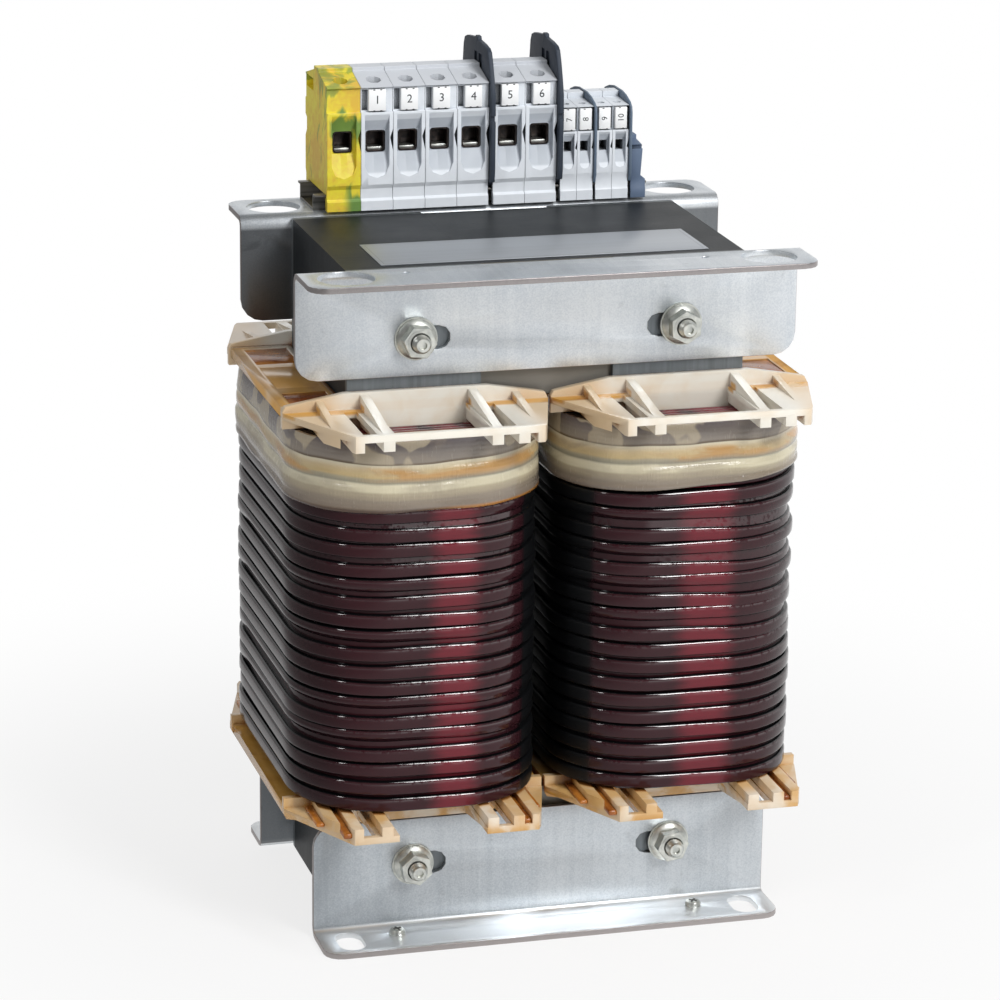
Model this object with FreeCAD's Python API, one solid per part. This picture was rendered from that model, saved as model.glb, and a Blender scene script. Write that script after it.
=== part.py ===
import FreeCAD, Part
import math
import os

# Two-leg transformer on slotted feet, with a row of rail terminals on the rear top bracket.
# X runs along the core, minus Y is the front, Z is up from the floor. All sizes are in mm.

# Core of stacked strips
leg_width = 60.0
window_width = 60.0
window_height = 183.6
stack_depth = 101.8
core_lift = 0.7

# Grey plates on the legs and the folded brackets
leg_plate_sheet = 3.0
bracket_sheet = 2.5
bend_radius = 2.5
top_bracket_length = 226.9
top_bracket_drop = 48.7
top_flange_reach = 34.5
top_flange_rise = 1.6
foot_bracket_length = 211.3
foot_bracket_height = 52.6
foot_flange_reach = 30.3
plate_corner = 10.0
flange_corner = 8.0
corner_steps = 4
bend_steps = 3
lifting_hole_width = 24.5
lifting_hole_from_end = 18.95
lifting_hole_from_plate = 18.1
pilot_hole_width = 3.5
pilot_hole_x = 67.0
pilot_hole_from_plate = 12.9
foot_slot_width = 12.0
foot_slot_length = 20.0
foot_slot_from_end = 13.65
foot_slot_from_plate = 16.8
foot_screw_x = 69.5
foot_screw_from_plate = 12.6

# Clamping bolts through the corners of the core
bolt_width = 8.0
bolt_hole_width = 8.8
bolt_play = 0.1
bolt_from_edge = 30.4
bolt_slot_height = 10.5
bolt_slot_inner_x = 44.5
bolt_slot_outer_x = 66.0
washer_width = 19.0
washer_sheet = 0.8
nut_flange_width = 17.8
nut_flange_height = 2.2
nut_hex = 13.0
nut_height = 8.2
stud_length = 12.5
bar_sides = 8

# Coil formers
panel_skin = 3.4
wall_gap = 0.2
wall_half_width = 59.25
wall_crown = 32.0
wall_rise = 7.0
wall_shoulder_rise = 3.0
wing_over_window = 0.2
wing_sheet = 3.0
wing_reach = 102.0
wing_rim = 3.0
wing_window_from_wall = 4.5
wing_tip_left = 37.5
wing_tip_right = 45.6
wing_rib_drop = 4.3
side_clearance = 0.5
side_wall = 2.0
side_flange_reach = 58.7
side_flange_sheet = 4.5
side_flange_clearance = 0.3
outer_flange_rise = 1.7
side_pocket_depth = 3.0
side_pocket_rim = 5.0
side_pocket_wall = 1.5

# Windings
winding_gap = 0.25
inner_winding_half_width = 43.5
inner_winding_half_depth = 72.0
inner_winding_corner = 20.0
insulation_sheet = 1.7
outer_winding_half_width = 56.5
outer_winding_half_depth = 88.0
outer_winding_corner = 42.0
tape_height = 30.45
turn_count = 18
tight_gap_every = 4
groove_depth = 1.5
groove_width = 2.0
tape_sheet = 1.5
outer_steps = 4
inner_steps = 3

# Rating label
label_length = 148.5
label_depth = 40.0
label_sheet = 0.3
label_x = 1.25
label_from_front = 4.9

# Terminal rail
rail_width = 35.0
rail_height = 7.5
rail_sheet = 1.0
rail_base_width = 27.0
rail_length = 157.2
rail_from_plate = 19.8
rail_screw_x = 72.3

# Terminals
earth_width = 15.8
large_width = 15.0
small_width = 7.85
row_start = -73.6
partition_sheet = 2.2
thin_plate_sheet = 1.2
large_front_reach = 20.2
large_rear_reach = 23.8
large_neck_rise = 4.6
large_face_rise = 37.9
large_seat_rise = 48.4
large_edge_rise = 49.3
large_slope_rise = 53.8
large_crown_rise = 55.4
large_entry_rise = 18.9
large_entry_height = 10.2
large_entry_width = 9.3
large_entry_depth = 13.0
large_pocket_width = 11.5
large_pocket_rise = 7.6
large_pocket_depth = 3.5
small_front_reach = 19.3
small_rear_reach = 21.9
small_neck_rise = 5.1
small_face_rise = 24.9
small_seat_rise = 35.6
small_edge_rise = 36.2
small_slope_rise = 37.1
small_crown_rise = 39.8
small_entry_rise = 15.2
small_entry_height = 4.7
small_entry_width = 3.7
small_entry_depth = 11.0
small_pocket_width = 5.2
small_pocket_rise = 7.3
small_pocket_depth = 2.6
partition_front_reach = 23.7
partition_rear_reach = 27.8
partition_rise = 67.0
partition_nub_rise = 68.1

# Values that follow from the sizes above
half_stack = stack_depth / 2
leg_x = (leg_width + window_width) / 2
core_half = window_width / 2 + leg_width
window_bottom = core_lift + leg_width
window_top = window_bottom + window_height
core_top = window_top + leg_width
middle_z = (core_lift + core_top) / 2
plate_face = half_stack + leg_plate_sheet
bracket_face = plate_face + bracket_sheet
flange_top = core_top + top_flange_rise
bolt_x = leg_x
bolt_heights = [core_lift + bolt_from_edge, core_top - bolt_from_edge]
lifting_hole_x = top_bracket_length / 2 - lifting_hole_from_end
lifting_hole_y = plate_face + lifting_hole_from_plate
pilot_hole_y = plate_face + pilot_hole_from_plate
foot_slot_x = foot_bracket_length / 2 - foot_slot_from_end
foot_slot_y = plate_face + foot_slot_from_plate
foot_screw_y = plate_face + foot_screw_from_plate
rail_y = plate_face + rail_from_plate
wall_face = plate_face + wall_gap + panel_skin
wing_outer = window_height / 2 + wing_over_window
wing_inner = wing_outer - wing_sheet
wall_half_height = wing_outer + wall_rise
wall_shoulder_half_height = wing_outer + wall_shoulder_rise
side_flange_outer = window_height / 2 - side_flange_clearance
side_flange_inner = side_flange_outer - side_flange_sheet
coil_half_height = wing_inner - wing_rib_drop - winding_gap


def vec(x, y, z):
    return FreeCAD.Vector(x, y, z)


def block(x0, x1, y0, y1, z0, z1):
    return Part.makeBox(x1 - x0, y1 - y0, z1 - z0, vec(x0, y0, z0))


def bored(centre, direction, radius, length):
    return Part.makeCylinder(radius, length, centre, direction)


def arc_points(centre_u, centre_v, radius, start, sweep, steps):
    points = []
    for step in range(steps + 1):
        turn = math.radians(start + sweep * step / steps)
        points.append((centre_u + radius * math.cos(turn), centre_v + radius * math.sin(turn)))
    return points


def upright_bar(x, y, z0, z1, radius, sides):
    return plate_xy(arc_points(x, y, radius, 180 / sides, 360, sides)[:-1], z0, z1)


def level_bar(x, z, y0, y1, radius, sides):
    return plate_xz(arc_points(x, z, radius, 180 / sides, 360, sides)[:-1], y0, y1)


def tapered_bar(x, z, y0, y1, radius0, radius1, sides):
    loops = []
    for y, radius in ((y0, radius0), (y1, radius1)):
        ring = [vec(px, y, pz) for px, pz in arc_points(x, z, radius, 180 / sides, 360, sides)]
        loops.append(Part.makePolygon(ring))
    return Part.makeLoft(loops, True, True)


def plate_xy(points, z0, z1):
    corners = [vec(x, y, z0) for x, y in points]
    return Part.Face(Part.makePolygon(corners + corners[:1])).extrude(vec(0, 0, z1 - z0))


def plate_xz(points, y0, y1):
    corners = [vec(x, y0, z) for x, z in points]
    return Part.Face(Part.makePolygon(corners + corners[:1])).extrude(vec(0, y1 - y0, 0))


def plate_yz(points, x0, x1):
    corners = [vec(x0, y, z) for y, z in points]
    return Part.Face(Part.makePolygon(corners + corners[:1])).extrude(vec(x1 - x0, 0, 0))


def fuse(pieces):
    return pieces[0].multiFuse(pieces[1:]).removeSplitter()


def turned(shape):
    copy = shape.copy()
    copy.rotate(vec(0, 0, 0), vec(0, 0, 1), 180)
    return copy


def moved(shape, x, y=0, z=0):
    copy = shape.copy()
    copy.translate(vec(x, y, z))
    return copy


def save(shape, node):
    shape.exportStep("parts/" + node + ".step")


os.makedirs("parts", exist_ok=True)


# Core: two legs and two yokes in a pinwheel, one leg runs to the top and the other to the floor end.
def core_piece(x0, x1, z0, z1, holes):
    piece = block(x0, x1, -half_stack, half_stack, z0, z1)
    for x, z in holes:
        bore = level_bar(x, z, -half_stack - 1, half_stack + 1, bolt_hole_width / 2, bar_sides)
        piece = piece.cut(bore)
    return piece


low_bolt, high_bolt = bolt_heights
inner_edge = window_width / 2
save(core_piece(-core_half, -inner_edge, core_lift, window_top, [(-bolt_x, low_bolt)]), "core_left_leg")
save(core_piece(inner_edge, core_half, window_bottom, core_top, [(bolt_x, high_bolt)]), "core_right_leg")
save(core_piece(-core_half, inner_edge, window_top, core_top, [(-bolt_x, high_bolt)]), "core_top_yoke")
save(core_piece(-inner_edge, core_half, core_lift, window_bottom, [(bolt_x, low_bolt)]), "core_bottom_yoke")


# Grey plates over both faces of each leg, from the bottom yoke to the top yoke.
for side, sign_x in [("left", -1), ("right", 1)]:
    for end, sign_y in [("front", -1), ("rear", 1)]:
        near, far = sorted([sign_y * half_stack, sign_y * plate_face])
        centre = sign_x * leg_x
        plate = block(centre - leg_width / 2, centre + leg_width / 2, near, far, core_lift, core_top)
        for z in bolt_heights:
            plate = plate.cut(level_bar(centre, z, near - 1, far + 1, bolt_hole_width / 2, bar_sides))
        save(plate, "leg_plate_" + end + "_" + side)


# Brackets: folded angles that clamp the core. The front one is made, the rear one is the same turned.
def angle_section(length, height, reach):
    outer = bend_radius + bracket_sheet
    points = [(0, height)]
    points += arc_points(-outer, outer, outer, 0, -90, bend_steps)
    points += [(-reach, 0), (-reach, bracket_sheet)]
    points += arc_points(-outer, outer, bend_radius, -90, 90, bend_steps)
    points += [(-bracket_sheet, height)]
    return plate_yz(points, -length / 2, length / 2)


def rounded_end(half, low, high, radius):
    # Outline of a rectangle with its two far corners, those at high, rounded.
    points = [(-half, low), (half, low)]
    points += arc_points(half - radius, high - radius, radius, 0, 90, corner_steps)
    points += arc_points(-half + radius, high - radius, radius, 90, 90, corner_steps)
    return points


def slot_outline(centre_u, centre_v, half_straight, radius, steps):
    points = arc_points(centre_u + half_straight, centre_v, radius, -90, 180, steps)
    return points + arc_points(centre_u - half_straight, centre_v, radius, 90, 180, steps)


def angle_blank(length, height, reach):
    sheet = angle_section(length, height, reach)
    half = length / 2
    upright = plate_xz(rounded_end(half, -1, height, plate_corner), -reach - 1, 1)
    flange_outline = [(x, -y) for x, y in rounded_end(half, -1, reach, flange_corner)]
    flange = plate_xy(flange_outline, -1, height + 1)
    return sheet.common(upright).common(flange)


def bolt_slots(sheet, z):
    radius = bolt_slot_height / 2
    half_straight = (bolt_slot_outer_x - bolt_slot_inner_x) / 2 - radius
    middle = (bolt_slot_outer_x + bolt_slot_inner_x) / 2
    for sign in (-1, 1):
        outline = slot_outline(sign * middle, z, half_straight, radius, 5)
        sheet = sheet.cut(plate_xz(outline, -bracket_face - 1, -plate_face + 1))
    return sheet


def foot_bracket():
    sheet = angle_blank(foot_bracket_length, foot_bracket_height, foot_flange_reach)
    sheet.translate(vec(0, -plate_face, 0))
    sheet = bolt_slots(sheet, bolt_heights[0])
    radius = foot_slot_width / 2
    straight = foot_slot_length / 2 - radius
    for sign in (-1, 1):
        x = sign * foot_slot_x
        cutter = [block(x - radius, x + radius, -foot_slot_y - straight, -foot_slot_y + straight, -1, 4)]
        for y in (-foot_slot_y - straight, -foot_slot_y + straight):
            cutter.append(bored(vec(x, y, -1), vec(0, 0, 1), radius, 5))
        sheet = sheet.cut(fuse(cutter))
    return sheet


def top_bracket():
    sheet = angle_blank(top_bracket_length, top_bracket_drop, top_flange_reach)
    sheet = sheet.mirror(vec(0, 0, 0), vec(0, 0, 1))
    sheet.translate(vec(0, -plate_face, flange_top))
    sheet = bolt_slots(sheet, bolt_heights[1])
    for sign in (-1, 1):
        below = flange_top - bracket_sheet - 1
        through = bracket_sheet + 2
        lift = vec(sign * lifting_hole_x, -lifting_hole_y, below)
        sheet = sheet.cut(bored(lift, vec(0, 0, 1), lifting_hole_width / 2, through))
        x = sign * pilot_hole_x
        sheet = sheet.cut(upright_bar(x, -pilot_hole_y, below, flange_top + 1, pilot_hole_width / 2, 8))
    return sheet


foot = foot_bracket()
screw_hole_radius = 1.9
front_foot = foot
for sign in (-1, 1):
    hole = upright_bar(sign * foot_screw_x, -foot_screw_y, -1, 4, screw_hole_radius, 8)
    front_foot = front_foot.cut(hole)
save(front_foot, "foot_bracket_front")
save(turned(foot), "foot_bracket_rear")
top = top_bracket()
save(top, "top_bracket_front")
rear_top = turned(top)
for sign in (-1, 1):
    hole = upright_bar(sign * rail_screw_x, rail_y, flange_top - 5, flange_top + 1, screw_hole_radius, 8)
    rear_top = rear_top.cut(hole)
save(rear_top, "top_bracket_rear")


# Foot screws: pan heads on the front foot.
def pan_screw(x, y, z, head_radius, head_height, shank_length):
    head = upright_bar(x, y, z, z + head_height, head_radius, 8)
    shank = upright_bar(x, y, z - shank_length, z + 0.1, screw_hole_radius - 0.2, 8)
    return fuse([head, shank])


foot_screws = []
for sign in (-1, 1):
    x = sign * foot_screw_x
    foot_screws.append(pan_screw(x, -foot_screw_y, bracket_sheet, 3.6, 2.4, bracket_sheet - 0.3))
save(Part.makeCompound(foot_screws), "foot_screws")


# Clamping: four flange bolts from the rear, with a thin washer and a flange nut at the front.
def flange_head(x, z, seat, outward):
    shoulder = seat + outward * nut_flange_height
    crown = tapered_bar(x, z, seat, shoulder, nut_flange_width / 2, nut_hex / 2 + 0.6, 8)
    hex_radius = nut_hex / math.sqrt(3)
    ends = sorted([seat, seat + outward * nut_height])
    hexagon = plate_xz(arc_points(x, z, hex_radius, 30, 360, 6)[:-1], ends[0], ends[1])
    return fuse([crown, hexagon])


bolts = []
nuts = []
washers = []
for sign in (-1, 1):
    for z in bolt_heights:
        x = sign * bolt_x
        nut_seat = -bracket_face - washer_sheet
        bolt_radius = bolt_width / 2
        nut_end = nut_seat - nut_height
        passage = level_bar(x, z, nut_end - 1, 1 - bracket_face, bolt_radius + bolt_play, bar_sides)
        washers.append(level_bar(x, z, nut_seat, -bracket_face, washer_width / 2, 10).cut(passage))
        nuts.append(flange_head(x, z, nut_seat, -1).cut(passage))
        head = flange_head(x, z, bracket_face, 1)
        tip_y = nut_seat - stud_length
        shank = level_bar(x, z, tip_y, bracket_face + 1, bolt_radius, bar_sides)
        bolts.append(fuse([head, shank]))
save(Part.makeCompound(bolts), "clamp_bolts")
save(Part.makeCompound(nuts), "clamp_nuts")
save(Part.makeCompound(washers), "clamp_washers")


# Former front panel: a raised wall, and ribbed wings above and below the winding.
def wing_outline(inset):
    base = -wall_face + panel_skin * 0.5
    reach = -wing_reach + inset
    left = -wing_tip_left + inset
    right = wing_tip_right - inset
    side = wall_half_width - inset
    return [
        (-side, base),
        (-side, -wall_face - 1),
        (left - 3, reach + 6),
        (left, reach),
        (right, reach),
        (right + 2, reach + 4),
        (side, -wall_face - 1),
        (side, base),
    ]


def gusset(x0, x1, length, rise):
    foot_y = -wall_face + panel_skin * 0.5
    low = wing_inner + 0.5
    points = [
        (foot_y, low),
        (foot_y, wing_outer + rise),
        (-wall_face, wing_outer + rise),
        (-wall_face - length, wing_outer),
        (-wall_face - length, low),
    ]
    return plate_yz(points, x0, x1)


window_slot_front = wing_rim - wing_reach
window_slot_rear = -wall_face - wing_window_from_wall
wide_window = (-20.0, 22.0)
slot_windows = [(-33.5, -27.6), (27.6, 33.5)]
long_gusset = wing_reach - wall_face - wing_rim
short_gusset = long_gusset - 11.7
gussets = [(-44.5, -41.5, short_gusset, 4.3), (-25.0, -21.0, long_gusset, 6.0)]
gussets += [(23.2, 27.2, long_gusset, 6.0), (43.1, 46.1, short_gusset, 3.7)]
coil_ribs = [-44.5, -36.0, -22.8, 24.8, 36.5, 45.0]
coil_rib_width = 5.0
bottom_gap = (-17.5, 22.0)


def wing(open_front):
    outline = wing_outline(0)
    body = [plate_xy(outline, wing_inner, wing_outer)]
    for x0, x1, length, rise in gussets:
        body.append(gusset(x0, x1, length, rise))
    clip = plate_xy(outline, wing_inner - wing_rib_drop, wall_half_height)
    for x in coil_ribs:
        half = coil_rib_width / 2
        rib_low = wing_inner - wing_rib_drop
        body.append(block(x - half, x + half, -wing_reach, -wall_face + 1, rib_low, wing_inner + 1))
    solid = fuse(body).common(clip)
    for x0, x1 in slot_windows:
        cutter = block(x0, x1, window_slot_front, window_slot_rear, 0, wall_half_height)
        solid = solid.cut(cutter)
    if open_front:
        x0, x1 = bottom_gap
        cutter = block(x0, x1, -wing_reach - 1, -wall_face, 0, wall_half_height)
    else:
        x0, x1 = wide_window
        cutter = block(x0, x1, window_slot_front, -wall_face, 0, wall_half_height)
    return solid.cut(cutter)


def front_panel():
    inner_y = -plate_face - wall_gap
    crest = [
        (-wall_half_width, wing_inner - wing_rib_drop),
        (wall_half_width, wing_inner - wing_rib_drop),
        (wall_half_width, wing_outer + 0.1),
        (wall_half_width - 1.2, wall_shoulder_half_height - 0.6),
        (wall_half_width - 4.2, wall_shoulder_half_height),
        (wall_crown, wall_half_height),
        (-wall_crown, wall_half_height),
        (-wall_half_width + 4.2, wall_shoulder_half_height),
        (-wall_half_width + 1.2, wall_shoulder_half_height - 0.6),
        (-wall_half_width, wing_outer + 0.1),
    ]
    raised = plate_xz(crest, -wall_face, inner_y)
    lowered = raised.mirror(vec(0, 0, 0), vec(0, 0, 1))
    tube_half = leg_width / 2 + side_clearance + side_wall
    tube = block(-tube_half, tube_half, -wall_face, inner_y, -wing_inner, wing_inner)
    top_wing = wing(False)
    bottom_wing = wing(True).mirror(vec(0, 0, 0), vec(0, 0, 1))
    return fuse([raised, lowered, tube, top_wing, bottom_wing])


# Former side panel: a thin wall along the leg, with pocketed flanges over the winding's flanks.
def side_panel(rise):
    length = plate_face
    near = leg_width / 2 + side_clearance
    high = side_flange_outer + rise
    low = side_flange_inner + rise
    body = [block(near, near + side_wall, -length, length, -high, high)]
    for z0, z1 in [(low, high), (-high, -low)]:
        body.append(block(near, side_flange_reach, -length, length, z0, z1))
    panel = fuse(body)
    pocket_floor = high - side_pocket_depth
    pocket_near = near + side_wall + side_pocket_wall
    pocket_far = side_flange_reach - side_pocket_rim
    for y0, y1 in [(-48, -20), (-14, 22), (30, length - 3)]:
        for z0, z1 in [(pocket_floor, high + 1), (-high - 1, -pocket_floor)]:
            panel = panel.cut(block(pocket_near, pocket_far, y0, y1, z0, z1))
    return panel


front = front_panel()
outer_side = side_panel(outer_flange_rise)
inner_side = side_panel(0)
for name, centre in [("left", -leg_x), ("right", leg_x)]:
    save(moved(front, centre, 0, middle_z), "former_front_" + name)
    save(moved(turned(front), centre, 0, middle_z), "former_rear_" + name)
    outer, inner = (turned(outer_side), inner_side) if name == "left" else (outer_side, turned(inner_side))
    save(moved(outer, centre, 0, middle_z), "former_outer_side_" + name)
    save(moved(inner, centre, 0, middle_z), "former_inner_side_" + name)


# Windings: rings round each leg. The outer one shows its turns as bands with grooves between them.
def ring_outline(half_width, half_depth, corner, inset, steps):
    width = half_width - inset
    depth = half_depth - inset
    radius = max(corner - inset, 0.5)
    points = []
    for quarter in range(4):
        turn_x = width - radius if quarter in (0, 3) else radius - width
        turn_y = depth - radius if quarter in (0, 1) else radius - depth
        points += arc_points(turn_x, turn_y, radius, 90 * quarter, 90, steps)
    return points


def ring(outer, inner, z0, z1):
    return plate_xy(outer, z0, z1).cut(plate_xy(inner, z0 - 1, z1 + 1))


def outline_wire(outline, z):
    corners = [vec(x, y, z) for x, y in outline]
    return Part.makePolygon(corners + corners[:1])


def turns_ring(inner, z0, z1, turns, half_width, half_depth, corner):
    pitch = (z1 - z0) / turns
    flat = ring_outline(half_width, half_depth, corner, 0, outer_steps)
    root = ring_outline(half_width, half_depth, corner, groove_depth, outer_steps)
    sections = [outline_wire(flat, z0)]
    for turn in range(1, turns):
        gap = z0 + turn * pitch
        if turn % tight_gap_every > 0:
            sections.append(outline_wire(flat, gap - groove_width / 2))
            sections.append(outline_wire(root, gap))
            sections.append(outline_wire(flat, gap + groove_width / 2))
    sections.append(outline_wire(flat, z1))
    body = Part.makeLoft(sections, True, True)
    return body.cut(plate_xy(inner, z0 - 1, z1 + 1))


side_face = leg_width / 2 + side_clearance + side_wall
coil_bottom = middle_z - coil_half_height
coil_top = middle_z + coil_half_height
winding_top = coil_top - tape_height
outer_size = (outer_winding_half_width, outer_winding_half_depth, outer_winding_corner)
inner_size = (inner_winding_half_width, inner_winding_half_depth, inner_winding_corner)
bore = ring_outline(side_face + winding_gap, wall_face + winding_gap, 0.5, 0, 1)
inner_skin = ring_outline(*inner_size, 0, inner_steps)
paper_bore = ring_outline(*inner_size, -winding_gap, inner_steps)
paper_skin = ring_outline(*inner_size, -winding_gap - insulation_sheet, inner_steps)
outer_bore = ring_outline(*inner_size, -2 * winding_gap - insulation_sheet, inner_steps)
tape_bore = ring_outline(*outer_size, 1.3, outer_steps)
tape_skin = ring_outline(*outer_size, 1.3 - tape_sheet, outer_steps)
inner_winding = ring(inner_skin, bore, coil_bottom, coil_top)
insulation = ring(paper_skin, paper_bore, coil_bottom, coil_top)
turns = turns_ring(outer_bore, coil_bottom, winding_top, turn_count, *outer_size)
collar = ring(tape_bore, outer_bore, winding_top, coil_top)
outer_winding = turns.fuse(collar).removeSplitter()
tape = ring(tape_skin, tape_bore, winding_top + 0.1, coil_top)
for name, centre in [("left", -leg_x), ("right", leg_x)]:
    save(moved(inner_winding, centre), "inner_winding_" + name)
    save(moved(insulation, centre), "insulation_" + name)
    save(moved(outer_winding, centre), "outer_winding_" + name)
    save(moved(tape, centre), "tape_wrap_" + name)


# Rating label: a bare thin plate on the top yoke.
label_y = label_from_front - half_stack
label_ends = (label_x - label_length / 2, label_x + label_length / 2)
save(block(*label_ends, label_y, label_y + label_depth, core_top, core_top + label_sheet), "rating_label")


# Terminal rail: a hat section on the rear top bracket, held by two screws through its base.
rail_top = flange_top + rail_height
rail_half = rail_length / 2


def rail_section():
    base = rail_base_width / 2
    lip = rail_width / 2
    points = [
        (rail_y - lip, rail_top),
        (rail_y - lip, rail_top - rail_sheet),
        (rail_y - base, rail_top - rail_sheet),
        (rail_y - base, flange_top),
        (rail_y + base, flange_top),
        (rail_y + base, rail_top - rail_sheet),
        (rail_y + lip, rail_top - rail_sheet),
        (rail_y + lip, rail_top),
        (rail_y + base - rail_sheet, rail_top),
        (rail_y + base - rail_sheet, flange_top + rail_sheet),
        (rail_y - base + rail_sheet, flange_top + rail_sheet),
        (rail_y - base + rail_sheet, rail_top),
    ]
    return plate_yz(points, -rail_half, rail_half)


rail = rail_section()
rail_screws = []
for sign in (-1, 1):
    x = sign * rail_screw_x
    rail = rail.cut(upright_bar(x, rail_y, flange_top - 1, flange_top + 3, screw_hole_radius, 8))
    shank = rail_sheet + bracket_sheet + 1.5
    rail_screws.append(pan_screw(x, rail_y, flange_top + rail_sheet, 3.4, 2.2, shank))
save(rail, "terminal_rail")
save(Part.makeCompound(rail_screws), "rail_screws")


# Terminals: moulded bodies that hook over the rail, the same front and rear, with a wire entry in
# a sloped pocket, a screw shaft above it and a seat for a marker tag on each face.
rail_slack = 0.15
foot_height = 4.5


def body_section(front_y, rear_y, neck_rise, heights, crown_half, neck):
    # Heights above the rail: face, tag seat, top edge, slope and crown.
    face_top, seat_top, edge_top, slope_top, crown_top = [rail_top + rise for rise in heights]
    middle = (front_y + rear_y) / 2
    lip_front = rail_y - rail_width / 2
    foot_z = flange_top + rail_slack
    claw_z = rail_top - rail_sheet - rail_slack
    neck_top = rail_top + neck_rise
    half = [
        (lip_front - 0.2, rail_top + rail_slack),
        (lip_front - 0.2, claw_z),
        (lip_front + 1.6, claw_z - 0.6),
        (lip_front + 0.6, foot_z),
        (front_y, foot_z),
        (front_y, foot_z + foot_height),
        (front_y + neck, foot_z + foot_height + 0.9),
        (front_y + neck, neck_top - 2),
        (front_y, neck_top),
        (front_y, face_top),
        (front_y + 1.6, face_top),
        (front_y + 1.6, seat_top),
        (front_y, edge_top),
        (middle - crown_half, slope_top),
        (middle - crown_half, crown_top),
    ]
    other = []
    for y, z in reversed(half):
        flipped = 2 * middle - y
        if z < neck_top - 2.1:
            flipped = 2 * rail_y - y
            if y <= front_y + neck + 0.1:
                flipped = rear_y - (y - front_y)
        other.append((flipped, z))
    return half + other


def entry_pocket(x, face, outward, width, depth, levels):
    # A wedge cut that is deepest at the wire entry, with a round lower end.
    top, throat_top, throat_low, low = levels
    slope = [
        (face + outward, top + 1),
        (face, top),
        (face - outward * depth, throat_top),
        (face - outward * depth, throat_low),
        (face, low),
        (face + outward, low - 1),
    ]
    wedge = plate_yz(slope, x - width, x + width)
    half = width / 2
    bowl = [(x - half, top)] + arc_points(x, low + half, half, 180, 180, 4) + [(x + half, top)]
    ends = sorted([face + outward, face - outward * (depth + 1)])
    return wedge.common(plate_xz(bowl, ends[0], ends[1]))


def terminal_body(x0, x1, section, faces, entry, pocket, shaft, notch):
    # Both faces get an entry with its pocket, a shaft for the screw and a small notch at the right edge.
    body = plate_yz(section, x0, x1)
    x = (x0 + x1) / 2
    entry_width, entry_depth, low, high = entry
    pocket_width, pocket_depth, pocket_low, pocket_top = pocket
    shaft_inset, radius = shaft
    for face, outward in zip(faces, (-1, 1)):
        ends = sorted([face + outward, face - outward * entry_depth])
        half = entry_width / 2
        body = body.cut(block(x - half, x + half, ends[0], ends[1], low, high))
        levels = (pocket_top, high + 0.2, low - 0.1, pocket_low)
        body = body.cut(entry_pocket(x, face, outward, pocket_width, pocket_depth, levels))
        body = body.cut(upright_bar(x, face - outward * shaft_inset, high - 1, rail_top + 70, radius, 8))
        side = x1 if outward < 0 else x0
        inward = side + outward * notch
        corner = [
            (side - outward, high + 1.5),
            (side, high + 1.0),
            (inward, high - 3.0),
            (side, low + 1.0),
            (side - outward, low + 0.5),
        ]
        ends = sorted([face + outward, face - outward * 3])
        body = body.cut(plate_xz(corner, ends[0], ends[1]))
    return body


large_faces = (rail_y - large_front_reach, rail_y + large_rear_reach)
large_heights = [large_face_rise, large_seat_rise, large_edge_rise, large_slope_rise, large_crown_rise]
large_section = body_section(*large_faces, large_neck_rise, large_heights, 4.5, 1.2)
large_low = rail_top + large_entry_rise
large_high = large_low + large_entry_height
large_entry = (large_entry_width, large_entry_depth, large_low, large_high)
large_pocket_top = rail_top + large_face_rise - 1.2
large_pocket = (large_pocket_width, large_pocket_depth, rail_top + large_pocket_rise, large_pocket_top)
large_shaft = (8.0, 3.6)
small_faces = (rail_y - small_front_reach, rail_y + small_rear_reach)
small_heights = [small_face_rise, small_seat_rise, small_edge_rise, small_slope_rise, small_crown_rise]
small_section = body_section(*small_faces, small_neck_rise, small_heights, 3.5, 0.5)
small_low = rail_top + small_entry_rise
small_high = small_low + small_entry_height
small_entry = (small_entry_width, small_entry_depth, small_low, small_high)
small_pocket_top = rail_top + small_face_rise - 0.9
small_pocket = (small_pocket_width, small_pocket_depth, rail_top + small_pocket_rise, small_pocket_top)
small_shaft = (7.0, 1.9)


cage_play = 0.2
cage_wall = 1.2
cage_front = 6.5
cage_back = 12.5


def large_metal(x):
    # Cage and screw for both ends of a large terminal.
    cages = []
    screws = []
    half = large_entry_width / 2 - cage_play
    inside = half - cage_wall
    low = large_low + cage_play
    high = large_high - cage_play
    for face, outward in zip(large_faces, (-1, 1)):
        y0, y1 = sorted([face - outward * cage_front, face - outward * cage_back])
        cage = block(x - half, x + half, y0, y1, low, high)
        room = block(x - inside, x + inside, y0 - 1, y1 + 1, low + cage_wall, high - cage_wall)
        cages.append(cage.cut(room))
        shaft_inset, radius = large_shaft
        shaft_y = face - outward * shaft_inset
        screws.append(upright_bar(x, shaft_y, large_high - 0.1, large_high + 12, radius - 0.3, 6))
    return cages, screws


def tag(x, width, face_y, seat_low, seat_top):
    return block(x - width / 2, x + width / 2, face_y - 0.2, face_y + 1.6, seat_low + 0.6, seat_top - 0.1)


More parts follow.
